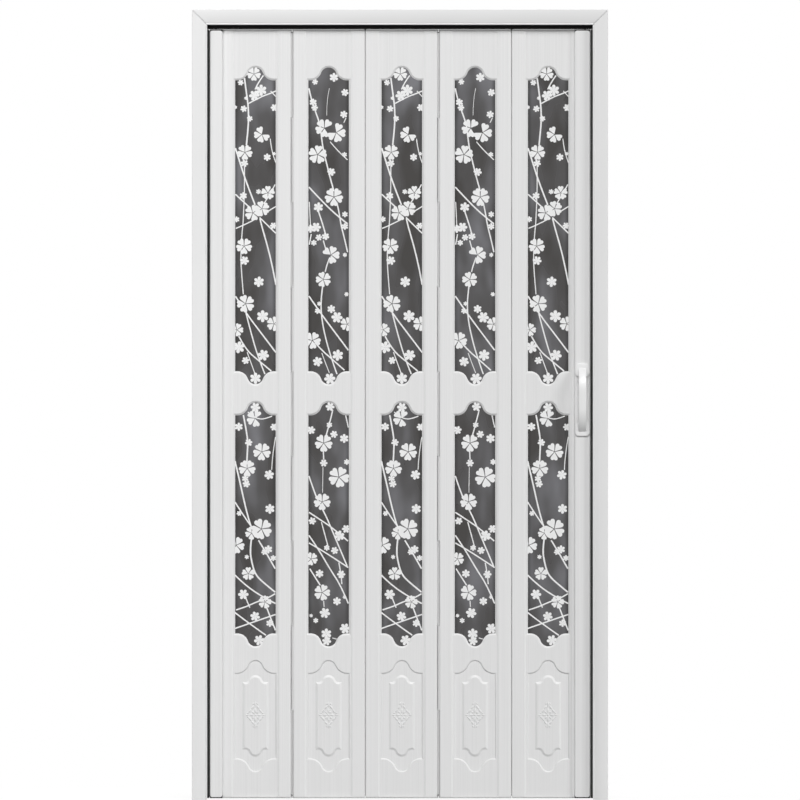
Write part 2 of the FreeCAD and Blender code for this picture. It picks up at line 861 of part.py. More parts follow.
def frame_nodes():
    nodes = {"left_casing": side_casing(-1), "right_casing": side_casing(1), "head_casing": head_casing()}
    nodes["left_lining"] = side_lining(-1)
    nodes["right_lining"] = side_lining(1)
    nodes["head_lining"] = head_lining()
    seats = lining_screw_seats(-1) + lining_screw_seats(1)
    nodes["lining_screws"] = screws(seats, -upward, lining_screw_length - screw_clearance)
    nodes["track"] = track()
    nodes["track_screws"] = screws(track_screw_seats(), upward, screw_bite)
    nodes["wall_channel"] = wall_channel()
    nodes["channel_screws"] = screws(jamb_screw_seats(-1, channel_wall), -across, screw_bite)
    nodes["jamb_post"] = jamb_post()
    nodes["jamb_post_caps"] = jamb_caps()
    nodes["strike_profile"] = strike_profile()
    nodes["strike_plate"] = strike_plate()
    nodes["strike_screws"] = screws(jamb_screw_seats(1, strike_wall), across, screw_bite)
    return nodes


def panel_nodes():
    nodes = {}
    plain_board = board()
    plain_panes = panes()
    for number in range(1, panel_count + 1):
        middle = across * ((board_left(number) + board_right(number)) / 2)
        nodes[f"board_{number}"] = plain_board.translated(middle)
        nodes[f"panes_{number}"] = plain_panes.translated(middle)
        nodes[f"left_stile_{number}"] = stile(number - 1, 1)
        nodes[f"right_stile_{number}"] = last_stile() if number == panel_count else stile(number, -1)
        nodes[f"panel_caps_{number}"] = panel_caps(number)
        nodes[f"hinge_pin_{number}"] = hinge_pin(number - 1)
    return nodes


def lead_nodes():
    nodes = {"lead_post": lead_post(), "lead_post_caps": lead_caps(), "lead_magnet": lead_magnet()}
    nodes["front_handle"] = front_handle()
    nodes["rear_handle"] = front_handle().mirror(FreeCAD.Vector(0, 0, 0), inward)
    nodes["handle_studs"] = handle_studs()
    nodes["lead_hanger"] = lead_hanger()
    places = [hinge_line(number) for number in range(panel_count) if carries_truck(number)]
    for name, x in zip(("first", "second", "lead"), places + [lead_hanger_x]):
        nodes[f"{name}_truck"] = truck(x)
        nodes[f"{name}_wheels"] = wheels(x)
    return nodes


os.makedirs("parts", exist_ok=True)
for group in (frame_nodes(), panel_nodes(), lead_nodes()):
    for name, shape in group.items():
        shape.exportStep(f"parts/{name}.step")
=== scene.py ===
import math

import bmesh
import bpy
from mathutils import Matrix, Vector


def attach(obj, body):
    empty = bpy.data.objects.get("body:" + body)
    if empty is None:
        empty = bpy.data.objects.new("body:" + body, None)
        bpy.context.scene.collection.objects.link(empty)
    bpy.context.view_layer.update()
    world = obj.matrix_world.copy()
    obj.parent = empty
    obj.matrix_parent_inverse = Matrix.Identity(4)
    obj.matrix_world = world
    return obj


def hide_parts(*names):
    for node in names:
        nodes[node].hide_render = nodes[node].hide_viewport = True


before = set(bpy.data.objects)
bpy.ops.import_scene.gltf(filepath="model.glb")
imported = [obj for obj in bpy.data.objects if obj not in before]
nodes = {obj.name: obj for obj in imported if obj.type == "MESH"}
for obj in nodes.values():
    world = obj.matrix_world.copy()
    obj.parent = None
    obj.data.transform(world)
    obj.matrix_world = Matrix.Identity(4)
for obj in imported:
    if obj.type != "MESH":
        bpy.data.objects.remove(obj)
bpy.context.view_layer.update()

mm = 0.001


# Lining of the opening: two upright boards and a head board, with the screws that hold their corners.
# Planed softwood under white paint, so the coat is smooth with a faint unevenness left by the roller.

def wire(tree, node, inputs):
    # Gives each input of a node a value, or a link from another node's output.
    for label, value in inputs.items():
        if isinstance(value, bpy.types.NodeSocket):
            tree.links.new(value, node.inputs[label])
        else:
            node.inputs[label].default_value = value
    return node


def add_node(tree, kind, inputs, **options):
    node = tree.nodes.new("ShaderNode" + kind)
    for label, value in options.items():
        setattr(node, label, value)
    return wire(tree, node, inputs)


def effect_group(name, inputs):
    # Node group on Object coordinates, with number inputs and the two outputs that the finishes read.
    group = bpy.data.node_groups.new(name, "ShaderNodeTree")
    for label, value in inputs.items():
        socket = group.interface.new_socket(label, in_out="INPUT", socket_type="NodeSocketFloat")
        socket.default_value = value
    for label in ("Shade", "Height"):
        group.interface.new_socket(label, in_out="OUTPUT", socket_type="NodeSocketFloat")
    settings = group.nodes.new("NodeGroupInput").outputs
    place = add_node(group, "TexCoord", {}).outputs["Object"]
    return group, settings, place, group.nodes.new("NodeGroupOutput")


def cloud(tree, place, scale, detail):
    # Noise on the given place; the scale is a number or an output.
    return add_node(tree, "TexNoise", {"Vector": place, "Scale": scale, "Detail": detail}).outputs["Fac"]


def make_paint_coat():
    # Broad soft patches in the shade, and the fine peel of a dried coat in the height.
    group, settings, place, end = effect_group("paint_coat", {"Patches": 5.0, "Peel": 420.0})
    wire(group, end, {"Shade": cloud(group, place, settings["Patches"], 4.0),
                      "Height": cloud(group, place, settings["Peel"], 1.0)})
    return group


def new_material(name):
    material = bpy.data.materials.new(name)
    material.use_nodes = True
    return material, material.node_tree, material.node_tree.nodes["Principled BSDF"]


def grey(level, warmth=0.0):
    return (level + warmth, level, level - warmth, 1.0)


def mix_shades(tree, factor, dark, light):
    # Colour between two others, which a Mix node takes on sockets 6 and 7 and gives as output 2.
    return add_node(tree, "Mix", {"Factor": factor, 6: dark, 7: light}, data_type="RGBA").outputs[2]


def rescale(tree, value, source=(0.0, 1.0), result=(0.0, 1.0)):
    limits = dict(zip(("From Min", "From Max", "To Min", "To Max"), (*source, *result)))
    return add_node(tree, "MapRange", {"Value": value, **limits}).outputs["Result"]


def relief(tree, height, strength, distance):
    bump = add_node(tree, "Bump", {"Height": height, "Strength": strength, "Distance": distance * mm})
    return bump.outputs["Normal"]


def finish(name, effect, settings, shades, gloss, bump, **constants):
    # Material whose colour, roughness and relief follow one effect; constants go on the shader's own sockets.
    material, tree, shader = new_material(name)
    pattern = add_node(tree, "Group", settings, node_tree=effect).outputs
    wire(tree, shader, {"Base Color": mix_shades(tree, pattern["Shade"], *shades),
                        "Roughness": rescale(tree, pattern["Shade"], result=gloss),
                        "Normal": relief(tree, pattern["Height"], *bump)})
    wire(tree, shader, {label.replace("_", " "): value for label, value in constants.items()})
    return material


def dress(material, *names):
    for name in names:
        coats = nodes[name].data.materials
        for index in range(len(coats)):
            coats[index] = material


paint_coat = make_paint_coat()
lining_paint = finish("lining_paint", paint_coat, {"Patches": 4.0, "Peel": 300.0},
                      (grey(0.71), grey(0.76)), (0.42, 0.55), (0.25, 0.15))
dress(lining_paint, "left_lining", "right_lining", "head_lining")


def streaks(tree, place, across, along, detail):
    # Noise drawn out along Z.
    stretch = add_node(tree, "CombineXYZ", {"X": across, "Y": across, "Z": along}).outputs["Vector"]
    drawn = add_node(tree, "VectorMath", {0: place, 1: stretch}, operation="MULTIPLY")
    return cloud(tree, drawn.outputs["Vector"], 1.0, detail)


def make_drawn_lines():
    # Fine lines along Z, as drawing or extruding leaves them.
    group, settings, place, end = effect_group("drawn_lines", {"Across": 600.0, "Along": 6.0})
    lines = streaks(group, place, settings["Across"], settings["Along"], 3.0)
    wire(group, end, {"Shade": rescale(group, lines, (0.3, 0.7)), "Height": lines})
    return group


drawn_lines = make_drawn_lines()
screw_zinc = finish("screw_zinc", drawn_lines, {"Across": 900.0, "Along": 200.0},
                    (grey(0.5), grey(0.62, 0.01)), (0.28, 0.42), (0.3, 0.05), Metallic=1.0)
dress(screw_zinc, "lining_screws", "track_screws", "channel_screws", "strike_screws")


# Casing: three white mouldings mitred at the upper corners, pinned to the front edge of the lining.
# Each has a broad face that falls a little towards the opening, a sloping cove and a half-round inner bead.

casing_inner = 509.0
casing_outer = 549.0
casing_head = 2052.0
casing_top = 2092.0
casing_back = -25.0
casing_depth = 12.0
mitre_gap = 0.6


def hold(*pieces):
    # Only these pieces picked, the first one active.
    bpy.ops.object.select_all(action="DESELECT")
    for piece in pieces:
        piece.select_set(True)
    bpy.context.view_layer.objects.active = pieces[0]


def pick(piece, kind="FACE", test=lambda element: True):
    # Edit mode with only those corners, edges or faces picked that pass the test.
    hold(piece)
    bpy.ops.object.mode_set(mode="EDIT")
    bpy.ops.mesh.select_mode(type=kind)
    bpy.ops.mesh.select_all(action="DESELECT")
    mesh = bmesh.from_edit_mesh(piece.data)
    for element in {"VERT": mesh.verts, "EDGE": mesh.edges, "FACE": mesh.faces}[kind]:
        if test(element):
            element.select_set(True)
    mesh.select_flush_mode()
    bmesh.update_edit_mesh(piece.data)


def leave_edit():
    bpy.ops.object.mode_set(mode="OBJECT")


def face_out():
    # Turns every face of the piece in edit mode outward, and leaves edit mode.
    bpy.ops.mesh.select_all(action="SELECT")
    bpy.ops.mesh.normals_make_consistent(inside=False)
    leave_edit()


def settle(name):
    # Names the piece just made, and keeps its place, turn and size in its mesh.
    piece = bpy.context.object
    piece.name = piece.data.name = name
    bpy.ops.object.transform_apply(location=True, rotation=True, scale=True)
    return piece


def first_corner(spot):
    # One loose corner in edit mode, from which a line is drawn.
    bpy.ops.mesh.primitive_plane_add(size=mm, location=spot)
    pick(bpy.context.object, "VERT")
    bpy.ops.mesh.merge(type="CENTER")


def pull(way):
    bpy.ops.mesh.extrude_region_move(TRANSFORM_OT_translate={"value": way})


def draw_outline(name, origin, across, up, start, steps):
    # Closed line drawn from one point: a pair is a straight run, a triple (centre, degrees, facets) an arc.
    across, up, origin = Vector(across), Vector(up), Vector(origin)

    def spot(p):
        return (origin + across * p[0] + up * p[1]) * mm

    first_corner(spot(start))
    here = start
    for step in (*steps, start):
        if len(step) == 3:
            centre, degrees, facets = step
            turn = math.radians(degrees)
            bpy.ops.mesh.spin(steps=facets, angle=-turn, center=spot(centre), axis=across.cross(up))
            run, rise = here[0] - centre[0], here[1] - centre[1]
            here = (centre[0] + run * math.cos(turn) - rise * math.sin(turn),
                    centre[1] + run * math.sin(turn) + rise * math.cos(turn))
        elif math.dist(here, step) > 0.001:
            pull(spot(step) - spot(here))
            here = step
    bpy.ops.mesh.select_all(action="SELECT")
    bpy.ops.mesh.remove_doubles(threshold=0.005 * mm)
    leave_edit()
    return settle(name)


def draw_bar(name, origin, across, up, start, steps, length):
    # Solid of one section, drawn and pulled out along its length.
    bar = draw_outline(name, origin, across, up, start, steps)
    pick(bar, "EDGE")
    bpy.ops.mesh.edge_face_add()
    pull(Vector(length) * mm)
    face_out()
    return bar


def saw(piece, spot, way):
    # Cuts off what lies beyond a plane and closes the cut.
    pick(piece)
    bpy.ops.mesh.bisect(plane_co=Vector(spot) * mm, plane_no=way, use_fill=True, clear_outer=True,
                        threshold=0.001 * mm)
    leave_edit()


def fit(piece, material, body, slot, *replaced, crease=32.0):
    # Finished piece on its body: creased where its faces turn by more than the angle, and given its material.
    hold(piece)
    bpy.ops.object.shade_smooth_by_angle(angle=math.radians(crease))
    piece.data.materials.clear()
    piece.data.materials.append(material)
    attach(piece, body)
    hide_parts(*replaced)


def casing_section():
    # From the opening outward: the bead, the cove and the broad face with its rounded outer corner.
    bead_radius, bead_shoulder, groove_floor = 1.7, 7.8, 6.8
    cove_edge, cove_rise, round_over = 8.2, 9.8, 1.2
    width = casing_outer - casing_inner
    face_end = width - round_over
    return [(0.0, bead_shoulder), ((bead_radius, bead_shoulder), -180.0, 14), (2 * bead_radius, groove_floor),
            (cove_edge, cove_rise), (face_end, casing_depth),
            ((face_end, casing_depth - round_over), -90.0, 7), (width, 0.0)]


casing_paint = finish("casing_paint", paint_coat, {"Patches": 3.0, "Peel": 350.0},
                      (grey(0.735), grey(0.785)), (0.36, 0.48), (0.2, 0.12))
for side, name in ((-1, "left"), (1, "right")):
    moulding = draw_bar(name + "_casing_moulding", (side * casing_inner, casing_back, 0.0), (side, 0, 0),
                        (0, -1, 0), (0.0, 0.0), casing_section(), (0, 0, casing_top))
    saw(moulding, (side * casing_inner, 0.0, casing_head - mitre_gap), (-side, 0, 1))
    fit(moulding, casing_paint, "frame", "casing_white", name + "_casing")
moulding = draw_bar("head_casing_moulding", (-casing_outer, casing_back, casing_head), (0, 0, 1), (0, -1, 0),
                    (0.0, 0.0), casing_section(), (2 * casing_outer, 0, 0))
for side in (-1, 1):
    saw(moulding, (side * casing_inner, 0.0, casing_head + mitre_gap), (side, 0, -1))
fit(moulding, casing_paint, "frame", "casing_white", "head_casing")


# Track: one white channel screwed up under the head lining, with a slot below for the trucks.
# Rolled steel with rounded bends and a baked powder coat, which dries with a fine even pebble.

track_middle = 6.2
track_half_length = 530.5
track_low = 2044.5
track_high = 2068.0
track_half, wall, slot_half, bend = 18.0, 2.0, 6.0, 4.5
powder_coat = finish("powder_coat", paint_coat, {"Patches": 8.0, "Peel": 900.0},
                     (grey(0.68), grey(0.74)), (0.45, 0.58), (0.35, 0.12))
flat = track_half - bend
rise = track_high - track_low
inner_half = track_half - wall
track_steps = [(-flat, 0.0), ((-flat, bend), -90.0, 8), (-track_half, rise), (track_half, rise),
               (track_half, bend), ((flat, bend), -90.0, 8), (slot_half, 0.0), (slot_half, wall),
               (flat, wall), ((flat, bend), 90.0, 8), (inner_half, rise - wall), (-inner_half, rise - wall),
               (-inner_half, bend), ((-flat, bend), 90.0, 8), (-slot_half, wall)]
channel = draw_bar("track_channel", (-track_half_length, track_middle, track_low), (0, 1, 0), (0, 0, 1),
                   (-slot_half, 0.0), track_steps, (2 * track_half_length, 0, 0))
fit(channel, powder_coat, "frame", "track_white", "track", crease=20.0)


# Head seal: a near-black brush strip on the front of the track, which closes the slit above the leaf; its
# strip covers the track's front face, and both stand in for the shade there as painted shade.
# Nylon tufts clamped in the lower edge of a thin strip that is glued to the track, just clear of the leaf.

seal_half_length = 530.0
strip_front = -13.4
strip_back = -11.9
strip_low = 2042.2
strip_high = 2056.0
strip_chamfer = 0.5
pile_low = 2040.4
tuft_pitch = 2.65
tuft_count = 400
tuft_length = 2.385
tuft_width = 2.55
tip_spread = (1.08, 1.2, 1.0)
tip_rim = 0.3
tip_hollow = 0.35


def block(name, middle, size):
    bpy.ops.mesh.primitive_cube_add(size=1.0, location=Vector(middle) * mm, scale=Vector(size) * mm)
    return settle(name)


def modify(piece, kind, **settings):
    hold(piece)
    modifier = piece.modifiers.new(kind.lower(), kind)
    for label, value in settings.items():
        setattr(modifier, label, value)
    bpy.ops.object.modifier_apply(modifier=modifier.name)


def repeat(piece, count, step):
    modify(piece, "ARRAY", count=count, use_relative_offset=False, use_constant_offset=True,
           constant_offset_displace=Vector(step) * mm)


def pile_row(name):
    # One tuft, spread and hollowed at its tip, then repeated along the strip.
    first = (tuft_pitch / 2 - seal_half_length, (strip_front + strip_back) / 2, (pile_low + strip_low) / 2)
    tuft = block(name, first, (tuft_length, tuft_width, strip_low - pile_low))
    pick(tuft, "FACE", lambda face: face.normal.z < -0.9)
    bpy.ops.transform.resize(value=tip_spread)
    bpy.ops.mesh.inset(thickness=tip_rim * mm)
    bpy.ops.transform.translate(value=(0, 0, tip_hollow * mm))
    leave_edit()
    repeat(tuft, tuft_count, (tuft_pitch, 0, 0))
    return tuft


# Near-black strip and tufts: painted shade over the track's face and in the slit above the leaf.
pile_painted_shade = finish("pile_painted_shade", drawn_lines, {"Across": 2400.0, "Along": 150.0},
                    (grey(0.008), grey(0.02)), (0.85, 0.97), (0.5, 0.15), Specular_IOR_Level=0.1)
strip_steps = [(strip_back, strip_low), (strip_back, strip_high), (strip_front + strip_chamfer, strip_high),
               (strip_front, strip_high - strip_chamfer)]
strip = draw_bar("head_seal_strip", (-seal_half_length, 0, 0), (0, 1, 0), (0, 0, 1), (strip_front, strip_low),
                 strip_steps, (2 * seal_half_length, 0, 0))
fit(strip, pile_painted_shade, "frame", None)
fit(pile_row("head_seal_pile"), pile_painted_shade, "frame", None)


# Wall channel and strike profile: near-black extruded profiles screwed to the two side linings, partly their
# own colour and partly painted shade for the gaps beside the posts.
# The jamb post is pushed over the channel; the strike carries a steel plate for the magnet between two
# rubber lips.

leaf_low = 10.0
leaf_high = 2040.0
strike_face = 506.2
lip_tip = 503.0


def draw_upright(name, start, steps, low, high, x=0.0, side=1, face=1):
    # Bar that stands between two heights; its section is drawn from the side and the face that are given.
    return draw_bar(name, (x, 0, low), (side, 0, 0), (0, face, 0), start, steps, (0, 0, high - low))


# Near-black, partly the profiles' own colour and partly painted shade for the gaps beside the posts.
dark_profile_and_gap_shade = finish("dark_profile_and_gap_shade", drawn_lines, {"Across": 500.0, "Along": 3.0},
                        (grey(0.018), grey(0.032)), (0.5, 0.65), (0.3, 0.1), Specular_IOR_Level=0.25)
dress(dark_profile_and_gap_shade, "wall_channel", "strike_profile")
drawn_steel = finish("drawn_steel", drawn_lines, {"Across": 1200.0, "Along": 8.0},
                     (grey(0.52), grey(0.64)), (0.25, 0.4), (0.3, 0.04), Metallic=1.0)
dress(drawn_steel, "strike_plate")
# Near-black rubber, partly its own colour and partly painted shade for the gap at the strike.
lip_rubber_and_gap_shade = finish("lip_rubber_and_gap_shade", drawn_lines, {"Across": 700.0, "Along": 4.0},
                    (grey(0.012), grey(0.024)), (0.65, 0.8), (0.3, 0.08))
lip_start = (strike_face, 9.4)
lip_steps = [(strike_face, 13.2), (lip_tip + 0.6, 13.0), (lip_tip, 12.2), (lip_tip + 1.4, 11.2)]
for label, way in (("front", -1), ("rear", 1)):
    lip = draw_upright("strike_lip_" + label, lip_start, lip_steps, leaf_low, leaf_high, face=way)
    fit(lip, lip_rubber_and_gap_shade, "frame", None)


# Hinge pins: long drawn steel wires through the knuckles, blackened against rust, headed at each end.
# The two that hang from trucks end in a thicker shank; the lead post's bolt and the studs are left bright.

black_steel = finish("black_steel", drawn_lines, {"Across": 1200.0, "Along": 8.0},
                     (grey(0.02), grey(0.035)), (0.45, 0.6), (0.3, 0.04))
dress(black_steel, *["hinge_pin_%d" % number for number in range(1, 6)])
dress(drawn_steel, "lead_hanger", "handle_studs")


# Knuckles: short barrels along each hinge, by turns on the piece at its left and the piece at its right.
# Grey, darker than the white stiles, so that each hinge shows as a grey line; extruded on to the edge of the
# stile or post and joined to it by a thin web.

panel_pitch = 193.3
first_hinge = -478.5
hinge_x = [first_hinge + panel_pitch * number for number in range(5)]
hinge_face = [1, -1, 1, -1, 1]
panel_bodies = ["panel_1", "panel_2", "panel_3", "panel_4", "lead_leaf"]
barrel_radius = 1.5
bore_radius = 0.95
axis_level = 6.2
knuckle_low = 19.0
knuckle_high = 2031.0
knuckle_count = 9
knuckle_pitch = (knuckle_high - knuckle_low) / knuckle_count
knuckle_gap = 0.4
web_reach = 4.6
web_start = 0.3
web_levels = (-1.75, -0.3)


def middle_of(element):
    corners = [corner.co for corner in element.verts]
    return sum(corners, Vector()) / len(corners) / mm


def knuckle_row(name, x, face, side):
    # Barrels on one side of a hinge, with bores for the pin and webs that reach into the piece beside them.
    # The lowest and the highest barrel are on the left, so the right side starts one higher and has one less.
    first = 1 if side > 0 else 0
    middle = Vector((x, face * axis_level, knuckle_low + (first + 0.5) * knuckle_pitch))
    bpy.ops.mesh.primitive_cylinder_add(vertices=32, radius=barrel_radius * mm, location=middle * mm,
                                        depth=(knuckle_pitch - knuckle_gap) * mm)
    row = settle(name)
    pick(row, "FACE", lambda wall: abs(wall.normal.z) > 0.9)
    bpy.ops.mesh.inset(thickness=(barrel_radius - bore_radius) * mm, use_individual=True)
    bpy.ops.mesh.bridge_edge_loops()
    leave_edit()

    def beside(wall):
        away = (middle_of(wall).x - x) * side
        level = middle_of(wall).y * face - axis_level
        outer = math.hypot(away, level) > (barrel_radius + bore_radius) / 2
        facing = away > web_start and web_levels[0] < level < web_levels[1]
        return outer and facing and abs(wall.normal.z) < 0.1

    pick(row, "FACE", beside)
    pull((side * (web_reach - barrel_radius) * mm, 0, 0))
    face_out()
    repeat(row, (knuckle_count + 1) // 2 - first, (0, 0, 2 * knuckle_pitch))
    return row


# Grey, darker than the stiles, which shows each hinge as a grey line.
hinge_line_grey = finish("hinge_line_grey", drawn_lines, {"Across": 300.0, "Along": 2.0},
                       (grey(0.57), grey(0.63)), (0.5, 0.62), (0.15, 0.08))
left_owners = ["frame"] + panel_bodies
left_carriers = ["jamb_post"] + ["right_stile_%d" % number for number in range(1, 5)]
for number, (x, face) in enumerate(zip(hinge_x, hinge_face)):
    label = "hinge_%d_" % (number + 1)
    fit(knuckle_row(label + "left_knuckles", x, face, -1), hinge_line_grey, left_owners[number], None,
        left_carriers[number])
    fit(knuckle_row(label + "right_knuckles", x, face, 1), hinge_line_grey, panel_bodies[number], None,
        "left_stile_%d" % (number + 1))


# Jamb post: hollow white profile pushed over the wall channel, with a lip in front of the first hinge.
# Extruded plastic, smooth with faint lines along its length, its corners rounded at both ends over a
# near-black cap, which stands in for the shade at the post's ends as painted shade; a dark plug beside each
# cap closes the channel.

post_half = 17.0
post_round = 4.0
post_wall = 2.2
jamb_left = -502.5
jamb_right = -480.65
jamb_lip = -468.5
lip_back = -8.0
mouth_half = 9.0
cap_reach = 3.0
post_low = leaf_low + cap_reach
post_high = leaf_high - cap_reach
post_ends = (("low", post_low, -1), ("high", post_high, 1))
end_round = 7.5
ear_height = 10.7
ear_shrink = 0.985
cap_height = 4.5
body_low = leaf_low + cap_height
body_high = leaf_high - cap_height
cap_ends = (("low", body_low, leaf_low), ("high", body_high, leaf_high))
plug_left, plug_right, plug_half = -530.6, -503.0, 8.6


def carve(piece, operation, tool):
    modify(piece, "BOOLEAN", operation=operation, object=tool, solver="EXACT")
    bpy.data.objects.remove(tool)


def lies_at(axis, *levels):
    # Test for an edge with both ends at one of the levels along an axis.
    def both_ends(edge):
        return all(min(abs(end.co[axis] - level * mm) for level in levels) < 1e-6 for end in edge.verts)

    return both_ends


def bevel_edges(piece, test, width, segments):
    pick(piece, "EDGE", test)
    bpy.ops.mesh.bevel(offset=width * mm, segments=segments, affect="EDGES", profile=0.5)
    leave_edit()


def round_corners(post, left, right, rim, way):
    # Rounds the two corners that one end of a post shows from the front, with three cuts to a corner.
    for edge, side in ((left, -1), (right, 1)):
        for turn in (22.5, 45.0, 67.5):
            across = side * math.cos(math.radians(turn))
            along = way * math.sin(math.radians(turn))
            spot = (edge + (across - side) * end_round, 0, rim + (along - way) * end_round)
            saw(post, spot, (across, 0, along))


def end_cap(name, start, steps, left, right, rim, way):
    # Plate over the end of a post, a little inside its outline, with two ears that fill the rounded corners.
    outer = rim + way * cap_reach
    cap = draw_upright(name, start, steps, *sorted((outer, outer - way * ear_height)))
    pick(cap)
    bpy.ops.transform.resize(value=(ear_shrink, ear_shrink, 1.0),
                             center_override=((left + right) / 2 * mm, 0, outer * mm))
    leave_edit()
    end = draw_upright("end", start, steps, *sorted((rim, rim - way * 3 * ear_height)))
    round_corners(end, left, right, rim, way)
    carve(cap, "DIFFERENCE", end)
    return cap


def stand_post(label, body, left, right, start, cap_steps, post_steps):
    # Post and its two caps; the caps follow its outline without the hollow and the grooves.
    post = draw_upright(label + "_post_profile", start, post_steps, post_low, post_high)
    for _, rim, way in post_ends:
        round_corners(post, left, right, rim, way)
    fit(post, post_plastic, body, "post_white", label + "_post")
    for end, rim, way in post_ends:
        cap = end_cap(label + "_cap_" + end, start, cap_steps, left, right, rim, way)
        fit(cap, painted_shade_cap, body, "dark_profile", label + "_post_caps")


post_plastic = finish("post_plastic", drawn_lines, {"Across": 260.0, "Along": 1.2},
                      (grey(0.73), grey(0.77)), (0.32, 0.42), (0.12, 0.1))
# Near-black caps: painted shade at the posts' ends and in their rounded corners.
painted_shade_cap = finish("painted_shade_cap", paint_coat, {"Patches": 20.0, "Peel": 1500.0},
                  (grey(0.012), grey(0.024)), (0.5, 0.62), (0.3, 0.05), Specular_IOR_Level=0.3)
turn_level = post_half - post_round
lip_turn, back_turn, jamb_turn = jamb_lip - post_round, jamb_right - post_round, jamb_left + post_round
hollow_left, hollow_right, hollow_half = jamb_left + post_wall, jamb_right - post_wall, post_half - post_wall
outside = [(lip_turn, -post_half), ((lip_turn, -turn_level), 90.0, 7), (jamb_lip, lip_back),
           (jamb_right, lip_back), (jamb_right, turn_level), ((back_turn, turn_level), 90.0, 7),
           (jamb_turn, post_half), ((jamb_turn, turn_level), 90.0, 7)]
inside = [(jamb_left, mouth_half), (hollow_left, mouth_half), (hollow_left, hollow_half),
          (hollow_right, hollow_half), (hollow_right, -hollow_half), (hollow_left, -hollow_half),
          (hollow_left, -mouth_half), (jamb_left, -mouth_half)]
corner = [(jamb_left, -turn_level), ((jamb_turn, -turn_level), 90.0, 7)]
stand_post("jamb", "frame", jamb_left, jamb_lip, (jamb_turn, -post_half), outside + corner,
           outside + inside + corner)
plug_steps = [(plug_right, -plug_half), (plug_right, plug_half), (plug_left, plug_half)]
for label, root, rim in cap_ends:
    plug = draw_upright("channel_plug_" + label, (plug_left, -plug_half), plug_steps, *sorted((root, rim)))
    bevel_edges(plug, lies_at(2, rim), 2.6, 5)
    fit(plug, dark_profile_and_gap_shade, "frame", None)


# Boards: one moulded board in each panel, with two ogee-ended windows and a sunk field with a raised centre.
# Pressed plastic with a fine upright grain; the same mould shapes the front and the back.

board_half = 5.0
board_width = 134.0
board_x = [x + panel_pitch / 2 for x in hinge_x]
windows = ((435.0, 1011.0), (1127.5, 1896.0))
window_half = 53.5
rosette_height = leaf_low + 219.5
rosette_spread = 1.09
rosette_relief = 1.5


def ogee_line(name, level, shape, growth):
    # Upright outline with a bell-shaped end above and below; each flank is tangent to its shoulder and crown.
    # A shape is half width, flat shoulder, rise, crown radius and the heights of the low and high shoulder.
    half_width, flat, rise, crown, low, high = shape
    shoulder = half_width - flat
    half_width += growth
    crown += growth
    low -= growth
    high += growth
    radii = (shoulder * shoulder + rise * rise) / (2 * rise)
    flank = radii - crown
    lean = math.degrees(math.atan2(rise - radii, shoulder))
    bend, arch = 90.0 + lean, 180.0 + 2 * lean
    steps = []
    for side, height in ((-1, high), (1, low)):
        steps += [(side * half_width, height), (side * shoulder, height),
                  ((side * shoulder, height - side * flank), bend, 9),
                  ((0.0, height - side * (rise - crown)), -arch, 18),
                  ((-side * shoulder, height - side * flank), bend, 9), (-side * half_width, height)]
    return draw_outline(name, (0, level, leaf_low), (1, 0, 0), (0, 0, 1), (-half_width, low), steps)


def put_together(*pieces):
    hold(*pieces)
    bpy.ops.object.join()
    return pieces[0]


def ogee_block(name, shape, stations):
    # Solid between ogee outlines; each station is a level across the board and the outline's growth there.
    solid = put_together(*[ogee_line(name, level, shape, growth) for level, growth in stations])

    def open_at(*levels):
        return lambda edge: len(edge.link_faces) < 2 and lies_at(1, *levels)(edge)

    for (level, _), (next_level, _) in zip(stations, stations[1:]):
        pick(solid, "EDGE", open_at(level, next_level))
        bpy.ops.mesh.bridge_edge_loops()
        leave_edit()
    for level in (stations[0][0], stations[-1][0]):
        pick(solid, "EDGE", open_at(level))
        bpy.ops.mesh.edge_face_add()
        leave_edit()
    pick(solid)
    face_out()
    return solid


def relief_leaf():
    # One low leaf of the rosette: a flattened bead, drawn in towards its two tips.
    bpy.ops.mesh.primitive_uv_sphere_add(segments=12, ring_count=8, radius=mm)
    leaf = bpy.context.object
    pick(leaf, "VERT", lambda corner: abs(corner.co.z) > 0.6 * mm)
    bpy.ops.transform.resize(value=(0.6, 0.8, 1.0))
    leave_edit()
    return leaf


def place_copy(piece, name, spot, size=(1, 1, 1), turn=0.0):
    # Copy with its own mesh, sized, turned about Y and set down, with its place kept in the mesh.
    hold(piece)
    bpy.ops.object.duplicate()
    twin = bpy.context.object
    twin.scale = size
    twin.rotation_euler = (0.0, math.radians(turn), 0.0)
    twin.location = Vector(spot) * mm
    return settle(name)


def rosette(level):
    # Lozenge of leaves about a small bud, each given as (across, up, turn, half width, half length).
    leaves = [(0.0, 0.0, 0.0, 2.6, 2.6)]
    for way in (-1, 1):
        leaves += [(0.0, way * 10.5, 0.0, 3.0, 6.5), (0.0, way * 25.5, 0.0, 2.6, 7.5)]
        leaves += [(way * 9.0, 0.0, 90.0, 2.8, 5.0), (way * 20.0, 0.0, 90.0, 2.2, 4.6)]
        for other in (-1, 1):
            slant = -36.0 * way * other
            leaves.append((way * 5.5, other * 6.5, -slant, 2.2, 4.4))
            leaves.append((way * 6.5, other * 18.5, slant, 2.4, 6.0))
            leaves.append((way * 12.5, other * 10.0, slant, 2.4, 6.0))
            leaves.append((way * 4.6, other * 27.5, slant, 1.6, 3.4))
            leaves.append((way * 18.0, other * 5.0, slant, 1.6, 3.2))
    leaf = relief_leaf()
    placed = []
    for x, z, turn, wide, long in leaves:
        spot = (rosette_spread * x, level, rosette_height + rosette_spread * z)
        size = (rosette_spread * wide, rosette_relief, rosette_spread * long)
        placed.append(place_copy(leaf, "leaf", spot, size, turn))
    bpy.data.objects.remove(leaf)
    return put_together(*placed)


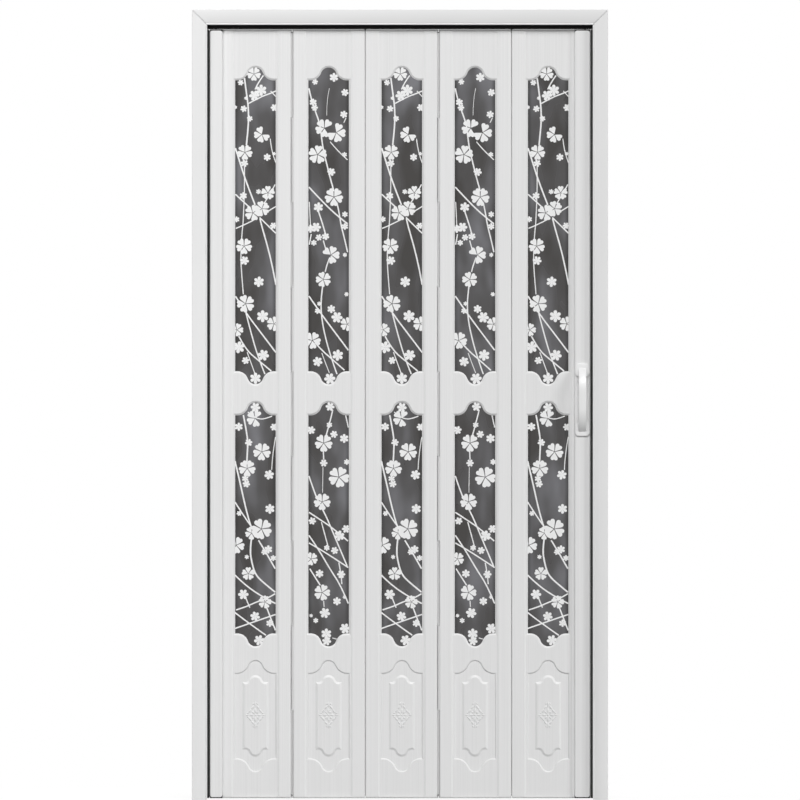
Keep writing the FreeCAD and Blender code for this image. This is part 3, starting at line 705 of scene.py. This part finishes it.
def board_pattern():
    # Board with its windows and fields pressed out of a plain blank, alike on the front and the back.
    board = block("board", (0, 0, (body_low + body_high) / 2),
                  (board_width, 2 * board_half, body_high - body_low))
    front_rim = [(-5.6, 5.5), (-1.7, 0.0)]
    window_rim = front_rim + [(-level, growth) for level, growth in reversed(front_rim)]
    for low, high in windows:
        shape = (window_half, 6.0, 34.0, 21.0, low, high)
        carve(board, "DIFFERENCE", ogee_block("window", shape, window_rim))
    border = (56.0, 6.0, 34.0, 21.0, 102.0, 331.0)
    centre = (28.6, 2.0, 18.5, 13.0, 133.6, 300.5)
    for way in (-1, 1):
        border_wall = ((way * 5.7, 0.9), (way * 2.4, -3.4))
        centre_slope = ((way * board_half, 0.0), (way * 2.4, 5.8), (way * 1.4, 5.8))
        carve(board, "DIFFERENCE", ogee_block("field", border, border_wall))
        carve(board, "UNION", ogee_block("centre", centre, centre_slope))
    return put_together(board, rosette(-board_half), rosette(board_half))


def make_upright_grain():
    # Grain of the pressed boards and stiles: broad soft streaks with finer ones between them, along Z.
    group, settings, place, end = effect_group("upright_grain", {"Across": 320.0, "Along": 2.0})
    finer = add_node(group, "Math", {0: settings["Across"], 1: 3.1}, operation="MULTIPLY").outputs["Value"]
    broad_streaks = streaks(group, place, settings["Across"], settings["Along"], 2.0)
    fine_streaks = streaks(group, place, finer, settings["Along"], 2.0)
    grain = add_node(group, "Math", {0: broad_streaks, 1: fine_streaks}, operation="ADD").outputs["Value"]
    wire(group, end, {"Shade": rescale(group, grain, (0.7, 1.3)), "Height": grain})
    return group


upright_grain = make_upright_grain()
board_plastic = finish("board_plastic", upright_grain, {"Across": 330.0, "Along": 2.2},
                       (grey(0.715), grey(0.765)), (0.4, 0.54), (0.3, 0.12))
pattern_board = board_pattern()
for number, (x, body) in enumerate(zip(board_x, panel_bodies), 1):
    board = place_copy(pattern_board, "board_%d_moulded" % number, (x, 0, 0))
    fit(board, board_plastic, body, "board_white", "board_%d" % number, crease=10.0)
bpy.data.objects.remove(pattern_board)


# Stiles: upright profiles that grip the two long edges of each board and carry the hinge knuckles.
# Extruded from the same plastic; the edge beside a hinge is rounded, and the lead post grips the last stile.

stile_half = 7.0
stile_end = 37.65
grip_floor = 29.25
lip_slope = 4.0
lip_level = 5.5
edge_gap = 0.6
edge_round = 3.0
seat_step = 0.5
seat_floor = 2.15
seat_level = 2.0
lead_left = 460.9
lead_slot = 12.0
last_panel = len(panel_bodies) - 1
edge_start = (edge_gap + edge_round, -stile_half)
hinge_edge = [((edge_gap + edge_round, edge_round - stile_half), -90.0, 9), (edge_gap, seat_step),
              (seat_floor, seat_step), (seat_floor, seat_level),
              ((seat_floor + stile_half - seat_level, seat_level), -90.0, 10)]


def stile_profile(name, number, side):
    # Stile on one side of a hinge, drawn outward from the hinge line and towards the hinged face.
    slope = stile_end - lip_slope
    lips = [(slope, stile_half), (stile_end, lip_level), (stile_end, board_half), (grip_floor, board_half),
            (grip_floor, -board_half), (stile_end, -board_half), (stile_end, -lip_level),
            (slope, -stile_half)]
    return draw_upright(name, edge_start, hinge_edge + lips, body_low, body_high, hinge_x[number], side,
                        hinge_face[number])


def lead_stile(name):
    # Last stile: a plain block whose other edge sits in the lead post.
    edge = hinge_x[last_panel] + panel_pitch - stile_end
    floor = edge + stile_end - grip_floor
    root = lead_left + lead_slot
    steps = [(edge, -board_half), (floor, -board_half), (floor, board_half), (edge, board_half),
             (edge, lip_level), (edge + lip_slope, stile_half), (root, stile_half), (root, -stile_half),
             (edge + lip_slope, -stile_half)]
    return draw_upright(name, (edge, -lip_level), steps, body_low, body_high)


stile_plastic = finish("stile_plastic", upright_grain, {"Across": 260.0, "Along": 1.6},
                       (grey(0.735), grey(0.775)), (0.38, 0.5), (0.22, 0.1))
for number, body in enumerate(panel_bodies):
    label = "left_stile_%d" % (number + 1)
    fit(stile_profile(label + "_profile", number, 1), stile_plastic, body, "stile_white", label, crease=16.0)
    label = "right_stile_%d" % (number + 1)
    if number == last_panel:
        stile = lead_stile(label + "_profile")
    else:
        stile = stile_profile(label + "_profile", number + 1, -1)
    fit(stile, stile_plastic, body, "stile_white", label, crease=16.0)


# Panel caps: flat moulded plates that close each panel at the top and at the bottom.
# They are plugged into the hollow stiles; their ends follow the edges beside the hinges, with eased rims.

eased_rim = ((2.8, 0.4), (1.7, 1.2))
cap_plastic = finish("cap_plastic", paint_coat, {"Patches": 20.0, "Peel": 1500.0},
                     (grey(0.67), grey(0.72)), (0.4, 0.5), (0.3, 0.05))


def turned_over(spot):
    # Place of a point of the edge at the next hinge, where the edge is turned half round.
    return (panel_pitch - spot[0], -spot[1])


def panel_cap(name, number, root, rim):
    # Plate with the panel's own outline, drawn from its left hinge line; each cut of the eased rim starts
    # some way inside the rim and leans by some share.
    steps = list(hinge_edge)
    if number == last_panel:
        steps += [(lead_left - hinge_x[number], stile_half), (lead_left - hinge_x[number], -stile_half)]
    else:
        steps.append(turned_over(edge_start))
        for step in hinge_edge:
            steps.append(turned_over(step) if len(step) == 2 else (turned_over(step[0]), *step[1:]))
    cap = draw_upright(name, edge_start, steps, *sorted((root, rim)), hinge_x[number], 1, hinge_face[number])
    way = 1 if rim > root else -1
    for side in (-1, 1):
        for drop, lean in eased_rim:
            saw(cap, (0, side * stile_half, rim - way * drop), (0, side, lean * way))
    return cap


for number, body in enumerate(panel_bodies):
    for label, root, rim in cap_ends:
        cap = panel_cap("panel_cap_%s_%d" % (label, number + 1), number, root, rim)
        fit(cap, cap_plastic, body, "cap_white", "panel_caps_%d" % (number + 1))


# Panes: smoked sheets slid into the boards before the stile closes them in.
# Tinted through, with soft lighter and darker clouds in the tint; towards the two long edges the colour is
# darkened as painted shade from the window's rims.

def smoked_pane():
    # The colour is even near the middle of a pane and darkened from there to the window's edge, as painted
    # shade.
    unshaded_half = 43.0
    material, tree, shader = new_material("smoked_pane")
    place = add_node(tree, "TexCoord", {}).outputs["Object"]
    stretch = add_node(tree, "Mapping", {"Vector": place, "Scale": (11.0, 11.0, 4.5)}).outputs["Vector"]
    smoke = cloud(tree, stretch, 1.0, 2.0)
    ramp = add_node(tree, "ValToRGB", {"Fac": smoke})
    stops = ramp.color_ramp.elements
    stops[0].position, stops[0].color = 0.36, (0.035, 0.032, 0.03, 1.0)
    stops[1].position, stops[1].color = 0.72, (0.17, 0.17, 0.183, 1.0)
    stops.new(0.52).color = (0.07, 0.068, 0.07, 1.0)
    reach = add_node(tree, "SeparateXYZ", {"Vector": place}).outputs["X"]
    for operation, value in (("SUBTRACT", board_x[0] * mm), ("DIVIDE", panel_pitch * mm), ("ADD", 0.5),
                             ("FRACT", 0.0), ("SUBTRACT", 0.5), ("ABSOLUTE", 0.0)):
        reach = add_node(tree, "Math", {0: reach, 1: value}, operation=operation).outputs["Value"]
    # Painted shade: the colour darkens towards the window's long edges.
    painted_edge_shade = rescale(tree, reach, (unshaded_half / panel_pitch, window_half / panel_pitch), (1.0, 0.3))
    tint = add_node(tree, "VectorMath", {0: ramp.outputs["Color"], "Scale": painted_edge_shade}, operation="SCALE")
    wire(tree, shader, {"Base Color": tint.outputs["Vector"], "IOR": 1.49,
                        "Roughness": rescale(tree, smoke, result=(0.22, 0.34)),
                        "Normal": relief(tree, cloud(tree, place, 60.0, 1.0), 0.1, 0.2)})
    return material


dress(smoked_pane(), *["panes_%d" % number for number in range(1, 6)])


# Print: white blossoms with notched petals, buds and crossing stems, screen-printed on the panes' front.
# An opaque enamel ink that stands a little proud of the pane; odd and even panels carry two arrangements.

pane_front = -1.5
pane_half = 59.0
pane_lap = 39.0
ink = 0.18
stem_level = pane_front - 0.3 * ink
open_size = 16


def blossom(name, petals, half_petal, spread):
    # Petals turned about the middle of a blossom one millimetre in radius; the first one points up.
    mirrored = [(-x, z) for x, z in reversed(half_petal[1:]) if x > 0.0]
    flower = draw_bar(name, (0, 0, 0), (1, 0, 0), (0, 0, 1), half_petal[0], half_petal[1:] + mirrored,
                      (0, -1, 0))
    pick(flower)
    bpy.ops.mesh.spin(steps=petals - 1, dupli=True, angle=-math.radians(spread * (petals - 1)),
                      center=(0, 0, 0), axis=(0, 1, 0))
    leave_edit()
    return flower


def stem(points, width):
    # Stem drawn point by point, rounded to a smooth line, given its width and flattened to the ink's depth.
    spots = [Vector((x, 0, z)) * mm for x, z in points]
    first_corner(spots[0])
    for here, there in zip(spots, spots[1:]):
        pull(there - here)
    leave_edit()
    settle("stem")
    bpy.ops.object.convert(target="CURVE")
    curve = bpy.context.object.data
    run = curve.splines[0]
    run.type = "NURBS"
    run.order_u = min(3, len(points))
    run.use_endpoint_u = True
    run.resolution_u = 6
    curve.bevel_depth = width / 2 * mm
    curve.bevel_resolution = 0
    curve.use_fill_caps = True
    bpy.ops.object.convert(target="MESH")
    line = bpy.context.object
    line.scale = (1.0, ink / width, 1.0)
    line.location = (0.0, stem_level * mm, 0.0)
    return settle("stem")


# Each blossom is (across, down from the upper shoulder, radius, turn), with a 4 where it has four petals, and
# each stem is (width, points across and down).
odd_upper = (
    [(-4, -17, 18, 36), (-39, 6, 8, 40), (15, 26, 15, 0), (-3, 40, 14, 25), (-25, 47, 5, 0),
     (-31, 75, 9, 15), (50, 72, 10, 30), (-53, 71, 5, 0), (-15, 101, 8, 50), (17, 143, 21, 122, 4),
     (-28, 190, 20, 36), (-29, 219, 10, 45), (31, 203, 10, 0), (49, 194, 5, 20), (8, 294, 7, 10),
     (33, 297, 18, 0), (-32, 305, 10, 0), (17, 339, 20, -15), (-7, 350, 21, 20), (-50, 367, 8, 0),
     (47, 384, 9, 30), (-30, 438, 21, 36), (-29, 476, 12, 40), (9, 532, 14, 5), (-26, 590, 23, -20),
     (19, 623, 16, 0), (49, 643, 19, 18), (-49, 659, 17, 20), (-44, 705, 16, 10), (21, 726, 15, 40),
     (-26, 740, 10, 20), (0, 787, 15, 0)],
    [(4.0, [(-29, -6), (-24, 32), (-19, 68), (-18, 104), (-21, 143), (-24, 171)]),
     (3.4, [(21, -13), (8, 4), (-1, 24)]), (3.4, [(54, 28), (36, 36), (17, 42), (-18, 61)]),
     (2.4, [(40, 28), (54, 43)]), (4.0, [(-53, 179), (-44, 207), (-25, 268), (-1, 329)]),
     (2.6, [(-29, 226), (-29, 282), (-30, 318), (-33, 384), (-35, 395), (-39, 459),
            (-37, 509), (-32, 565)]),
     (3.6, [(-53, 301), (-15, 336)]), (3.0, [(52, 275), (33, 310), (22, 326)]),
     (3.0, [(54, 333), (28, 349)]), (2.4, [(39, 154), (42, 187), (54, 218)]),
     (3.4, [(11, 362), (33, 384), (54, 404)]), (3.0, [(3, 365), (-33, 384), (-52, 391)]),
     (3.8, [(12, 365), (14, 376), (30, 431), (44, 487), (54, 540)]),
     (3.8, [(-53, 570), (-25, 615), (17, 670), (54, 719)]),
     (3.4, [(-25, 615), (-11, 670), (8, 734), (25, 776)]),
     (3.6, [(-44, 676), (-25, 712), (8, 740), (42, 768)]), (2.4, [(-22, 718), (-10, 751), (-1, 776)])])
even_upper = (
    [(14, -8, 12, 0), (-36, 4, 8, 20), (43, 32, 10, 45), (-41, 58, 10, 0), (-37, 72, 9, 30),
     (40, 90, 10, 10), (-11, 126, 24, 180, 4), (20, 138, 25, 22, 4), (-29, 196, 24, 8), (42, 196, 7, 0),
     (7, 242, 11, 40), (14, 308, 24, 36), (-27, 335, 13, 5), (43, 354, 8, 0), (-33, 388, 13, 30),
     (-48, 392, 11, 0), (-26, 415, 9, 20), (-8, 412, 10, 50), (-39, 429, 8, 0), (6, 461, 23, -52, 4),
     (43, 461, 6, 0), (-14, 526, 20, -18), (47, 565, 6, 20), (7, 604, 11, 0), (22, 626, 15, 35),
     (-29, 609, 8, 10), (-25, 590, 6, 0), (49, 644, 18, 18), (-43, 687, 22, 30), (24, 726, 15, 5),
     (-29, 743, 13, 45), (3, 788, 15, 25), (43, 386, 9, 0)],
    [(3.6, [(-52, 21), (-47, 46), (-36, 79), (-23, 115), (-19, 149), (-14, 185), (-5, 221),
            (6, 265), (14, 293)]),
     (1.2, [(2, 21), (-5, 49), (-5, 93)]), (2.6, [(4, 162), (22, 185), (50, 210)]),
     (3.8, [(-52, 282), (-16, 321), (22, 357), (50, 379)]), (3.4, [(-27, 346), (-14, 384), (-9, 404)]),
     (3.4, [(22, 323), (28, 351), (33, 384), (42, 418), (50, 454)]), (2.2, [(46, 99), (40, 112)]),
     (2.2, [(-51, 321), (-48, 384)]), (3.0, [(-14, 423), (-7, 448)]),
     (3.2, [(3, 468), (-5, 487), (-9, 506)]),
     (3.4, [(-16, 545), (-20, 576), (-20, 612), (-14, 656), (3, 723), (22, 776)]),
     (3.8, [(-52, 570), (-19, 618), (20, 670), (52, 713)]),
     (3.6, [(-36, 693), (-16, 715), (11, 738), (42, 766)]), (2.0, [(-18, 720), (-8, 748), (2, 773)]),
     (3.0, [(-46, 406), (-51, 434)])])
odd_lower = (
    [(0, -21, 13, 36), (-1, 8, 22, 170, 4), (-44, 30, 11, 0), (49, 31, 10, 30), (-18, 72, 10, 20),
     (17, 96, 23, 40), (-22, 140, 22, 36), (-27, 167, 9, 0), (-24, 181, 10, 40), (36, 157, 13, 15),
     (38, 247, 13, 0), (-43, 259, 7, 20), (16, 300, 27, -25), (-10, 311, 17, 40), (-51, 343, 22, 30),
     (34, 354, 11, 0), (23, 361, 8, 20), (47, 377, 8, 0), (-23, 374, 6, 10), (-19, 418, 17, 0),
     (-32, 473, 14, 30), (25, 493, 17, 15), (-1, 531, 13, 45), (38, 549, 10, 0), (10, 594, 14, 20)],
    [(4.0, [(-32, -1), (-24, 39), (-20, 73), (-22, 108), (-23, 130)]),
     (2.8, [(-20, -9), (-7, 2), (7, 9), (23, 10), (44, 2)]),
     (4.0, [(-54, 121), (-41, 176), (-27, 240), (-14, 288), (-9, 300)]),
     (3.4, [(-54, 229), (-18, 286), (-7, 298)]), (2.2, [(53, 57), (44, 108), (43, 144)]),
     (4.2, [(-10, 323), (-15, 357), (-9, 392), (0, 421), (21, 442), (52, 467)]),
     (3.8, [(8, 330), (28, 362), (52, 405)]), (3.8, [(-54, 422), (-27, 449), (21, 481), (53, 497)]),
     (3.6, [(-51, 514), (-23, 505), (0, 494), (37, 481), (52, 471)]),
     (3.6, [(-54, 521), (-18, 549), (28, 581)]), (3.6, [(-54, 563), (0, 544), (53, 526)]),
     (3.6, [(29, 506), (41, 538), (53, 568)]), (3.0, [(-26, 481), (-15, 508)])])
even_lower = (
    [(4, -23, 12, 36), (2, 25, 8, 0), (-46, 39, 11, 20), (14, 50, 10, 40), (41, 61, 12, 0),
     (-13, 73, 23, 36), (-13, 126, 10, 30), (48, 123, 8, 0), (27, 163, 27, -45), (-17, 228, 22, 36),
     (-43, 279, 10, 40), (28, 318, 14, 10), (46, 300, 11, 30), (-5, 350, 8, 0), (16, 357, 10, 20),
     (-46, 379, 17, 45), (-24, 418, 11, 0), (33, 420, 11, 30), (-17, 468, 21, 20), (22, 491, 11, 0),
     (42, 480, 5, 20), (-10, 522, 14, 40), (-34, 542, 7, 0), (-46, 529, 5, 10), (43, 563, 14, 25),
     (-6, 577, 14, 0), (-5, 596, 12, 40)],
    [(3.4, [(11, -15), (2, 25), (-8, 57)]), (3.2, [(-14, 94), (-13, 117)]), (1.6, [(-15, 137), (-16, 204)]),
     (3.6, [(-52, 160), (-34, 215), (-13, 254), (-2, 277), (21, 332), (49, 398)]),
     (3.6, [(-52, 256), (-20, 277), (14, 300), (51, 332)]), (2.8, [(-19, 282), (1, 355)]),
     (3.6, [(-52, 317), (-29, 350), (3, 405), (33, 451), (52, 497)]),
     (3.6, [(-52, 337), (-22, 354), (26, 385), (52, 402)]), (3.4, [(-50, 405), (-22, 449)]),
     (3.0, [(27, 389), (33, 419), (35, 446)]), (2.4, [(-13, 490), (-12, 506)]), (2.8, [(45, 0), (52, 32)]),
     (2.2, [(10, 588), (21, 591)])])


def printed_pane(layout, low, high):
    # Ink of one pane, trimmed to the pane's edges: blossoms in four depths, so that those that cross don't
    # share a face, and stems under them.
    depths = [share * ink for share in (1.2, 1.45, 1.7, 1.95)]
    shoulder = leaf_low + high
    flowers, stems = layout
    laid = []
    for order, (x, down, size, turn, *petals) in enumerate(flowers):
        kind = cut_blossom if petals else open_blossom if size > open_size else bud
        scale = (size, depths[order % len(depths)], size)
        laid.append(place_copy(kind, "ink", (x, pane_front, shoulder - down), scale, turn))
    laid += [stem([(x, shoulder - down) for x, down in points], width) for width, points in stems]
    layer = put_together(*laid)
    for side in (-1, 1):
        saw(layer, (side * pane_half, 0, 0), (side, 0, 0))
    saw(layer, (0, 0, shoulder + pane_lap), (0, 0, 1))
    saw(layer, (0, 0, leaf_low + low - pane_lap), (0, 0, -1))
    return layer


enamel = finish("print_enamel", paint_coat, {"Patches": 60.0, "Peel": 1500.0},
                (grey(0.78), grey(0.86)), (0.45, 0.6), (0.2, 0.05))
notched_petal = [(0.0, 0.05), (0.16, 0.29), (0.36, 0.6), (0.42, 0.76), (0.37, 0.92), (0.2, 1.0), (0.07, 0.95),
                 (0.0, 0.88)]
round_petal = [(0.0, 0.0), (0.16, 0.29), (0.27, 0.5), (0.3, 0.72), (0.2, 0.93), (0.0, 1.0)]
open_blossom = blossom("open_blossom", 5, notched_petal, 72.0)
cut_blossom = blossom("cut_blossom", 4, notched_petal, 72.0)
bud = blossom("bud", 6, round_petal, 60.0)
for layouts, panels in (((odd_lower, odd_upper), (1, 3, 5)), ((even_lower, even_upper), (2, 4))):
    prints = [printed_pane(layout, *limits) for layout, limits in zip(layouts, windows)]
    pattern_print = put_together(*prints)
    for number in panels:
        layer = place_copy(pattern_print, "blossom_print_%d" % number, (board_x[number - 1], 0, 0))
        fit(layer, enamel, panel_bodies[number - 1], None)
    bpy.data.objects.remove(pattern_print)
for pattern in (open_blossom, cut_blossom, bud):
    bpy.data.objects.remove(pattern)


# Lead post: hollow white profile that closes the leaf, pushed over the last stile and capped at both ends.
# Extruded plastic like the jamb post, with a magnet strip let into its closing edge.

lead_right = 502.5
groove_half = 5.0
groove_depth = 3.0
left_turn, right_turn = lead_left + post_round, lead_right - post_round
front_right = [(right_turn, -post_half), ((right_turn, -turn_level), 90.0, 7)]
magnet_groove = [(lead_right, -groove_half), (lead_right - groove_depth, -groove_half),
                 (lead_right - groove_depth, groove_half), (lead_right, groove_half)]
back = [(lead_right, turn_level), ((right_turn, turn_level), 90.0, 7), (left_turn, post_half),
        ((left_turn, turn_level), 90.0, 7)]
stile_slot = [(lead_left, stile_half), (lead_left + lead_slot, stile_half),
              (lead_left + lead_slot, -stile_half), (lead_left, -stile_half)]
front_left = [(lead_left, -turn_level), ((left_turn, -turn_level), 90.0, 7)]
stand_post("lead", "lead_leaf", lead_left, lead_right, (left_turn, -post_half),
           front_right + back + front_left, front_right + magnet_groove + back + stile_slot + front_left)
magnet_strip = finish("magnet_strip", drawn_lines, {"Across": 400.0, "Along": 20.0},
                      (grey(0.03), grey(0.06)), (0.6, 0.75), (0.3, 0.08))
dress(magnet_strip, "lead_magnet")


# Handles: a bow handle on each side of the lead post, drawn together by two studs through the post.
# Injection-moulded white plastic with a polished skin; the bar runs from a round to a cut-cornered foot.

handle_x = (lead_left + lead_right) / 2
handle_z = 1062.0
bow_half_width = 10.5
bow_root = 2.5
bow_outer = (30.0, 87.0, 24.0)
bow_inner = (22.0, 69.0, 17.0)
foot_half = 19.5
foot_outer = 96.0
foot_inner = 60.0
foot_round = 12.0
foot_cut = 6.5
foot_depth = 5.0


def bow_side(reach, end, grip, way):
    # One side of the bar from root to root: a bend, the straight grip and the other bend.
    rise, run = reach - bow_root, end - grip
    radius = (rise ** 2 + run ** 2) / (2 * rise)
    degrees = way * math.degrees(math.asin(run / radius))
    return [((reach - radius, -way * grip), degrees, 24), (reach, way * grip),
            ((reach - radius, way * grip), degrees, 24)]


def handle_bar(name, face):
    # Bowed bar drawn from the side and pulled out across its width, its long edges rounded over.
    steps = bow_side(*bow_outer, 1) + [(bow_root, bow_inner[1])] + bow_side(*bow_inner, -1)
    bar = draw_bar(name, (handle_x - bow_half_width, face * post_half, handle_z), (0, face, 0), (0, 0, 1),
                   (bow_root, -bow_outer[1]), steps, (2 * bow_half_width, 0, 0))

    def long_edge(edge):
        at_side = any(lies_at(0, handle_x + side * bow_half_width)(edge) for side in (-1, 1))
        return at_side and abs(middle_of(edge).y) > post_half + bow_root + 0.1

    bevel_edges(bar, long_edge, 2.4, 5)
    return bar


def handle_foot(name, face, way):
    # Foot plate against the post: the upper one round, the lower one with two cut corners.
    ease = foot_round if way > 0 else foot_cut
    turn, level = foot_half - ease, foot_outer - ease
    right_corner = [((turn, level), -90.0, 8)] if way > 0 else [(foot_half, level)]
    left_corner = [((-turn, level), -90.0, 8)] if way > 0 else []
    inner_turn, inner_level = foot_half - foot_round, foot_inner + foot_round
    steps = [(turn, foot_outer), *right_corner, (foot_half, inner_level),
             ((inner_turn, inner_level), -90.0, 8), (-inner_turn, foot_inner),
             ((-inner_turn, inner_level), -90.0, 8), (-foot_half, level), *left_corner]
    foot = draw_bar(name, (handle_x, face * post_half, handle_z), (1, 0, 0), (0, 0, way), (-turn, foot_outer),
                    steps, (0, face * foot_depth, 0))
    bevel_edges(foot, lies_at(1, face * (post_half + foot_depth)), 1.6, 4)
    return foot


polished_plastic = finish("polished_plastic", paint_coat, {"Patches": 12.0, "Peel": 260.0},
                          (grey(0.77), grey(0.81)), (0.36, 0.42), (0.06, 0.1), Coat_Weight=0.1)
for label, face in (("front", -1), ("rear", 1)):
    handle = handle_bar(label + "_bow_handle", face)
    for foot_label, way in (("upper_foot", 1), ("lower_foot", -1)):
        carve(handle, "UNION", handle_foot(foot_label, face, way))
    fit(handle, polished_plastic, "lead_leaf", "handle_white", label + "_handle")


# Trucks and wheels: three steel blocks in the track, each with a fixed axle and a pair of nylon wheels.
# The leaf hangs from them on two hinge pins and one bolt.

truck_zinc = finish("truck_zinc", paint_coat, {"Patches": 40.0, "Peel": 700.0},
                    (grey(0.47), grey(0.58, 0.008)), (0.35, 0.5), (0.3, 0.06), Metallic=1.0)
dress(truck_zinc, "first_truck", "second_truck", "lead_truck")
wheel_nylon = finish("wheel_nylon", paint_coat, {"Patches": 50.0, "Peel": 1200.0},
                     (grey(0.62, 0.01), grey(0.7, 0.008)), (0.4, 0.5), (0.2, 0.05))
dress(wheel_nylon, "first_wheels", "second_wheels", "lead_wheels")


# Studio: a pale floor under a white surround, with far-off lamps in front and at the right and two fills.
# The floor keeps the shadow of the door, and the surround shows white to the eye and in reflections.

scene = bpy.context.scene
scene.view_settings.view_transform = "Standard"


def seen_directly(tree):
    # One where a ray comes from the eye, a reflection or glass, and zero elsewhere.
    path = add_node(tree, "LightPath", {}).outputs
    total = path["Is Camera Ray"]
    for label in ("Is Glossy Ray", "Is Transmission Ray"):
        total = add_node(tree, "Math", {0: total, 1: path[label]}, operation="MAXIMUM").outputs["Value"]
    return total


def show_mixed(tree, output, factor, first, second):
    mix = add_node(tree, "MixShader", {"Fac": factor, 1: first, 2: second})
    wire(tree, tree.nodes[output], {"Surface": mix.outputs["Shader"]})


def floor_finish():
    # Pale where it is seen, dimmer for bounced light, and fading into the surround away from the door.
    material, tree, shader = new_material("studio_floor")
    seen = seen_directly(tree)
    place = add_node(tree, "TexCoord", {}).outputs["Object"]
    mottle = mix_shades(tree, cloud(tree, place, 3.0, 3.0), grey(0.87), grey(0.92))
    wire(tree, shader, {"Base Color": mix_shades(tree, seen, grey(0.16), mottle), "Roughness": 0.9})
    reach = add_node(tree, "VectorMath", {0: place}, operation="LENGTH").outputs["Value"]
    fade = rescale(tree, reach, (0.5, 1.7), (0.75, 1.0))
    share = add_node(tree, "Math", {0: seen, 1: fade}, operation="MULTIPLY").outputs["Value"]
    glow = add_node(tree, "Emission", {}).outputs["Emission"]
    show_mixed(tree, "Material Output", share, shader.outputs["BSDF"], glow)
    return material


bpy.ops.mesh.primitive_plane_add(size=9.0, location=(0, 0, 0))
floor = bpy.context.object
floor.name = "studio_floor"
floor.data.materials.append(floor_finish())

surround = bpy.data.worlds.new("studio_surround")
surround.use_nodes = True
scene.world = surround
tree = surround.node_tree
ambient = wire(tree, tree.nodes["Background"], {"Color": grey(1.0), "Strength": 0.12})
white = add_node(tree, "Background", {"Color": grey(1.0), "Strength": 1.0})
show_mixed(tree, "World Output", seen_directly(tree), ambient.outputs["Background"],
           white.outputs["Background"])


def lamp(name, kind, spot, aim, size, power):
    # Lamp that looks from a spot at an aim; the size is an edge in metres, or an angle for a far-off lamp.
    bpy.ops.object.light_add(type=kind, location=spot)
    light = bpy.context.object
    light.name = light.data.name = name
    light.rotation_euler = (Vector(aim) - Vector(spot)).to_track_quat("-Z", "Y").to_euler()
    light.data.energy = power
    if kind == "SUN":
        light.data.angle = size
    else:
        light.data.size = size


lamp("key_lamp", "SUN", (0.8, -8.5, 7.6), (0, 0, 1.0), math.radians(20), 1.68)
lamp("side_lamp", "SUN", (10.0, -7.0, 4.5), (0, 0, 1.0), math.radians(16), 0.95)
lamp("fill_lamp", "AREA", (-2.2, -3.2, 2.9), (0, 0, 1.6), 2.0, 56.0)
lamp("back_lamp", "AREA", (-2.5, 7.0, 5.0), (0, 0, 1.0), 3.0, 600.0)


# Camera: straight on to the leaf at half its height, far off so that the lines stay upright.
# The picture takes in about 2.11 m of the leaf's plane from edge to edge.

eye_distance = 40.0
eye_height = 1.0616
picture_width = 2.1135
sensor_width = 36.0
bpy.ops.object.camera_add(location=(0.0, -eye_distance, eye_height), rotation=(math.radians(90), 0, 0))
camera = bpy.context.object
camera.data.sensor_width = sensor_width
camera.data.lens = sensor_width * eye_distance / picture_width
camera.data.clip_end = 100.0
scene.camera = camera
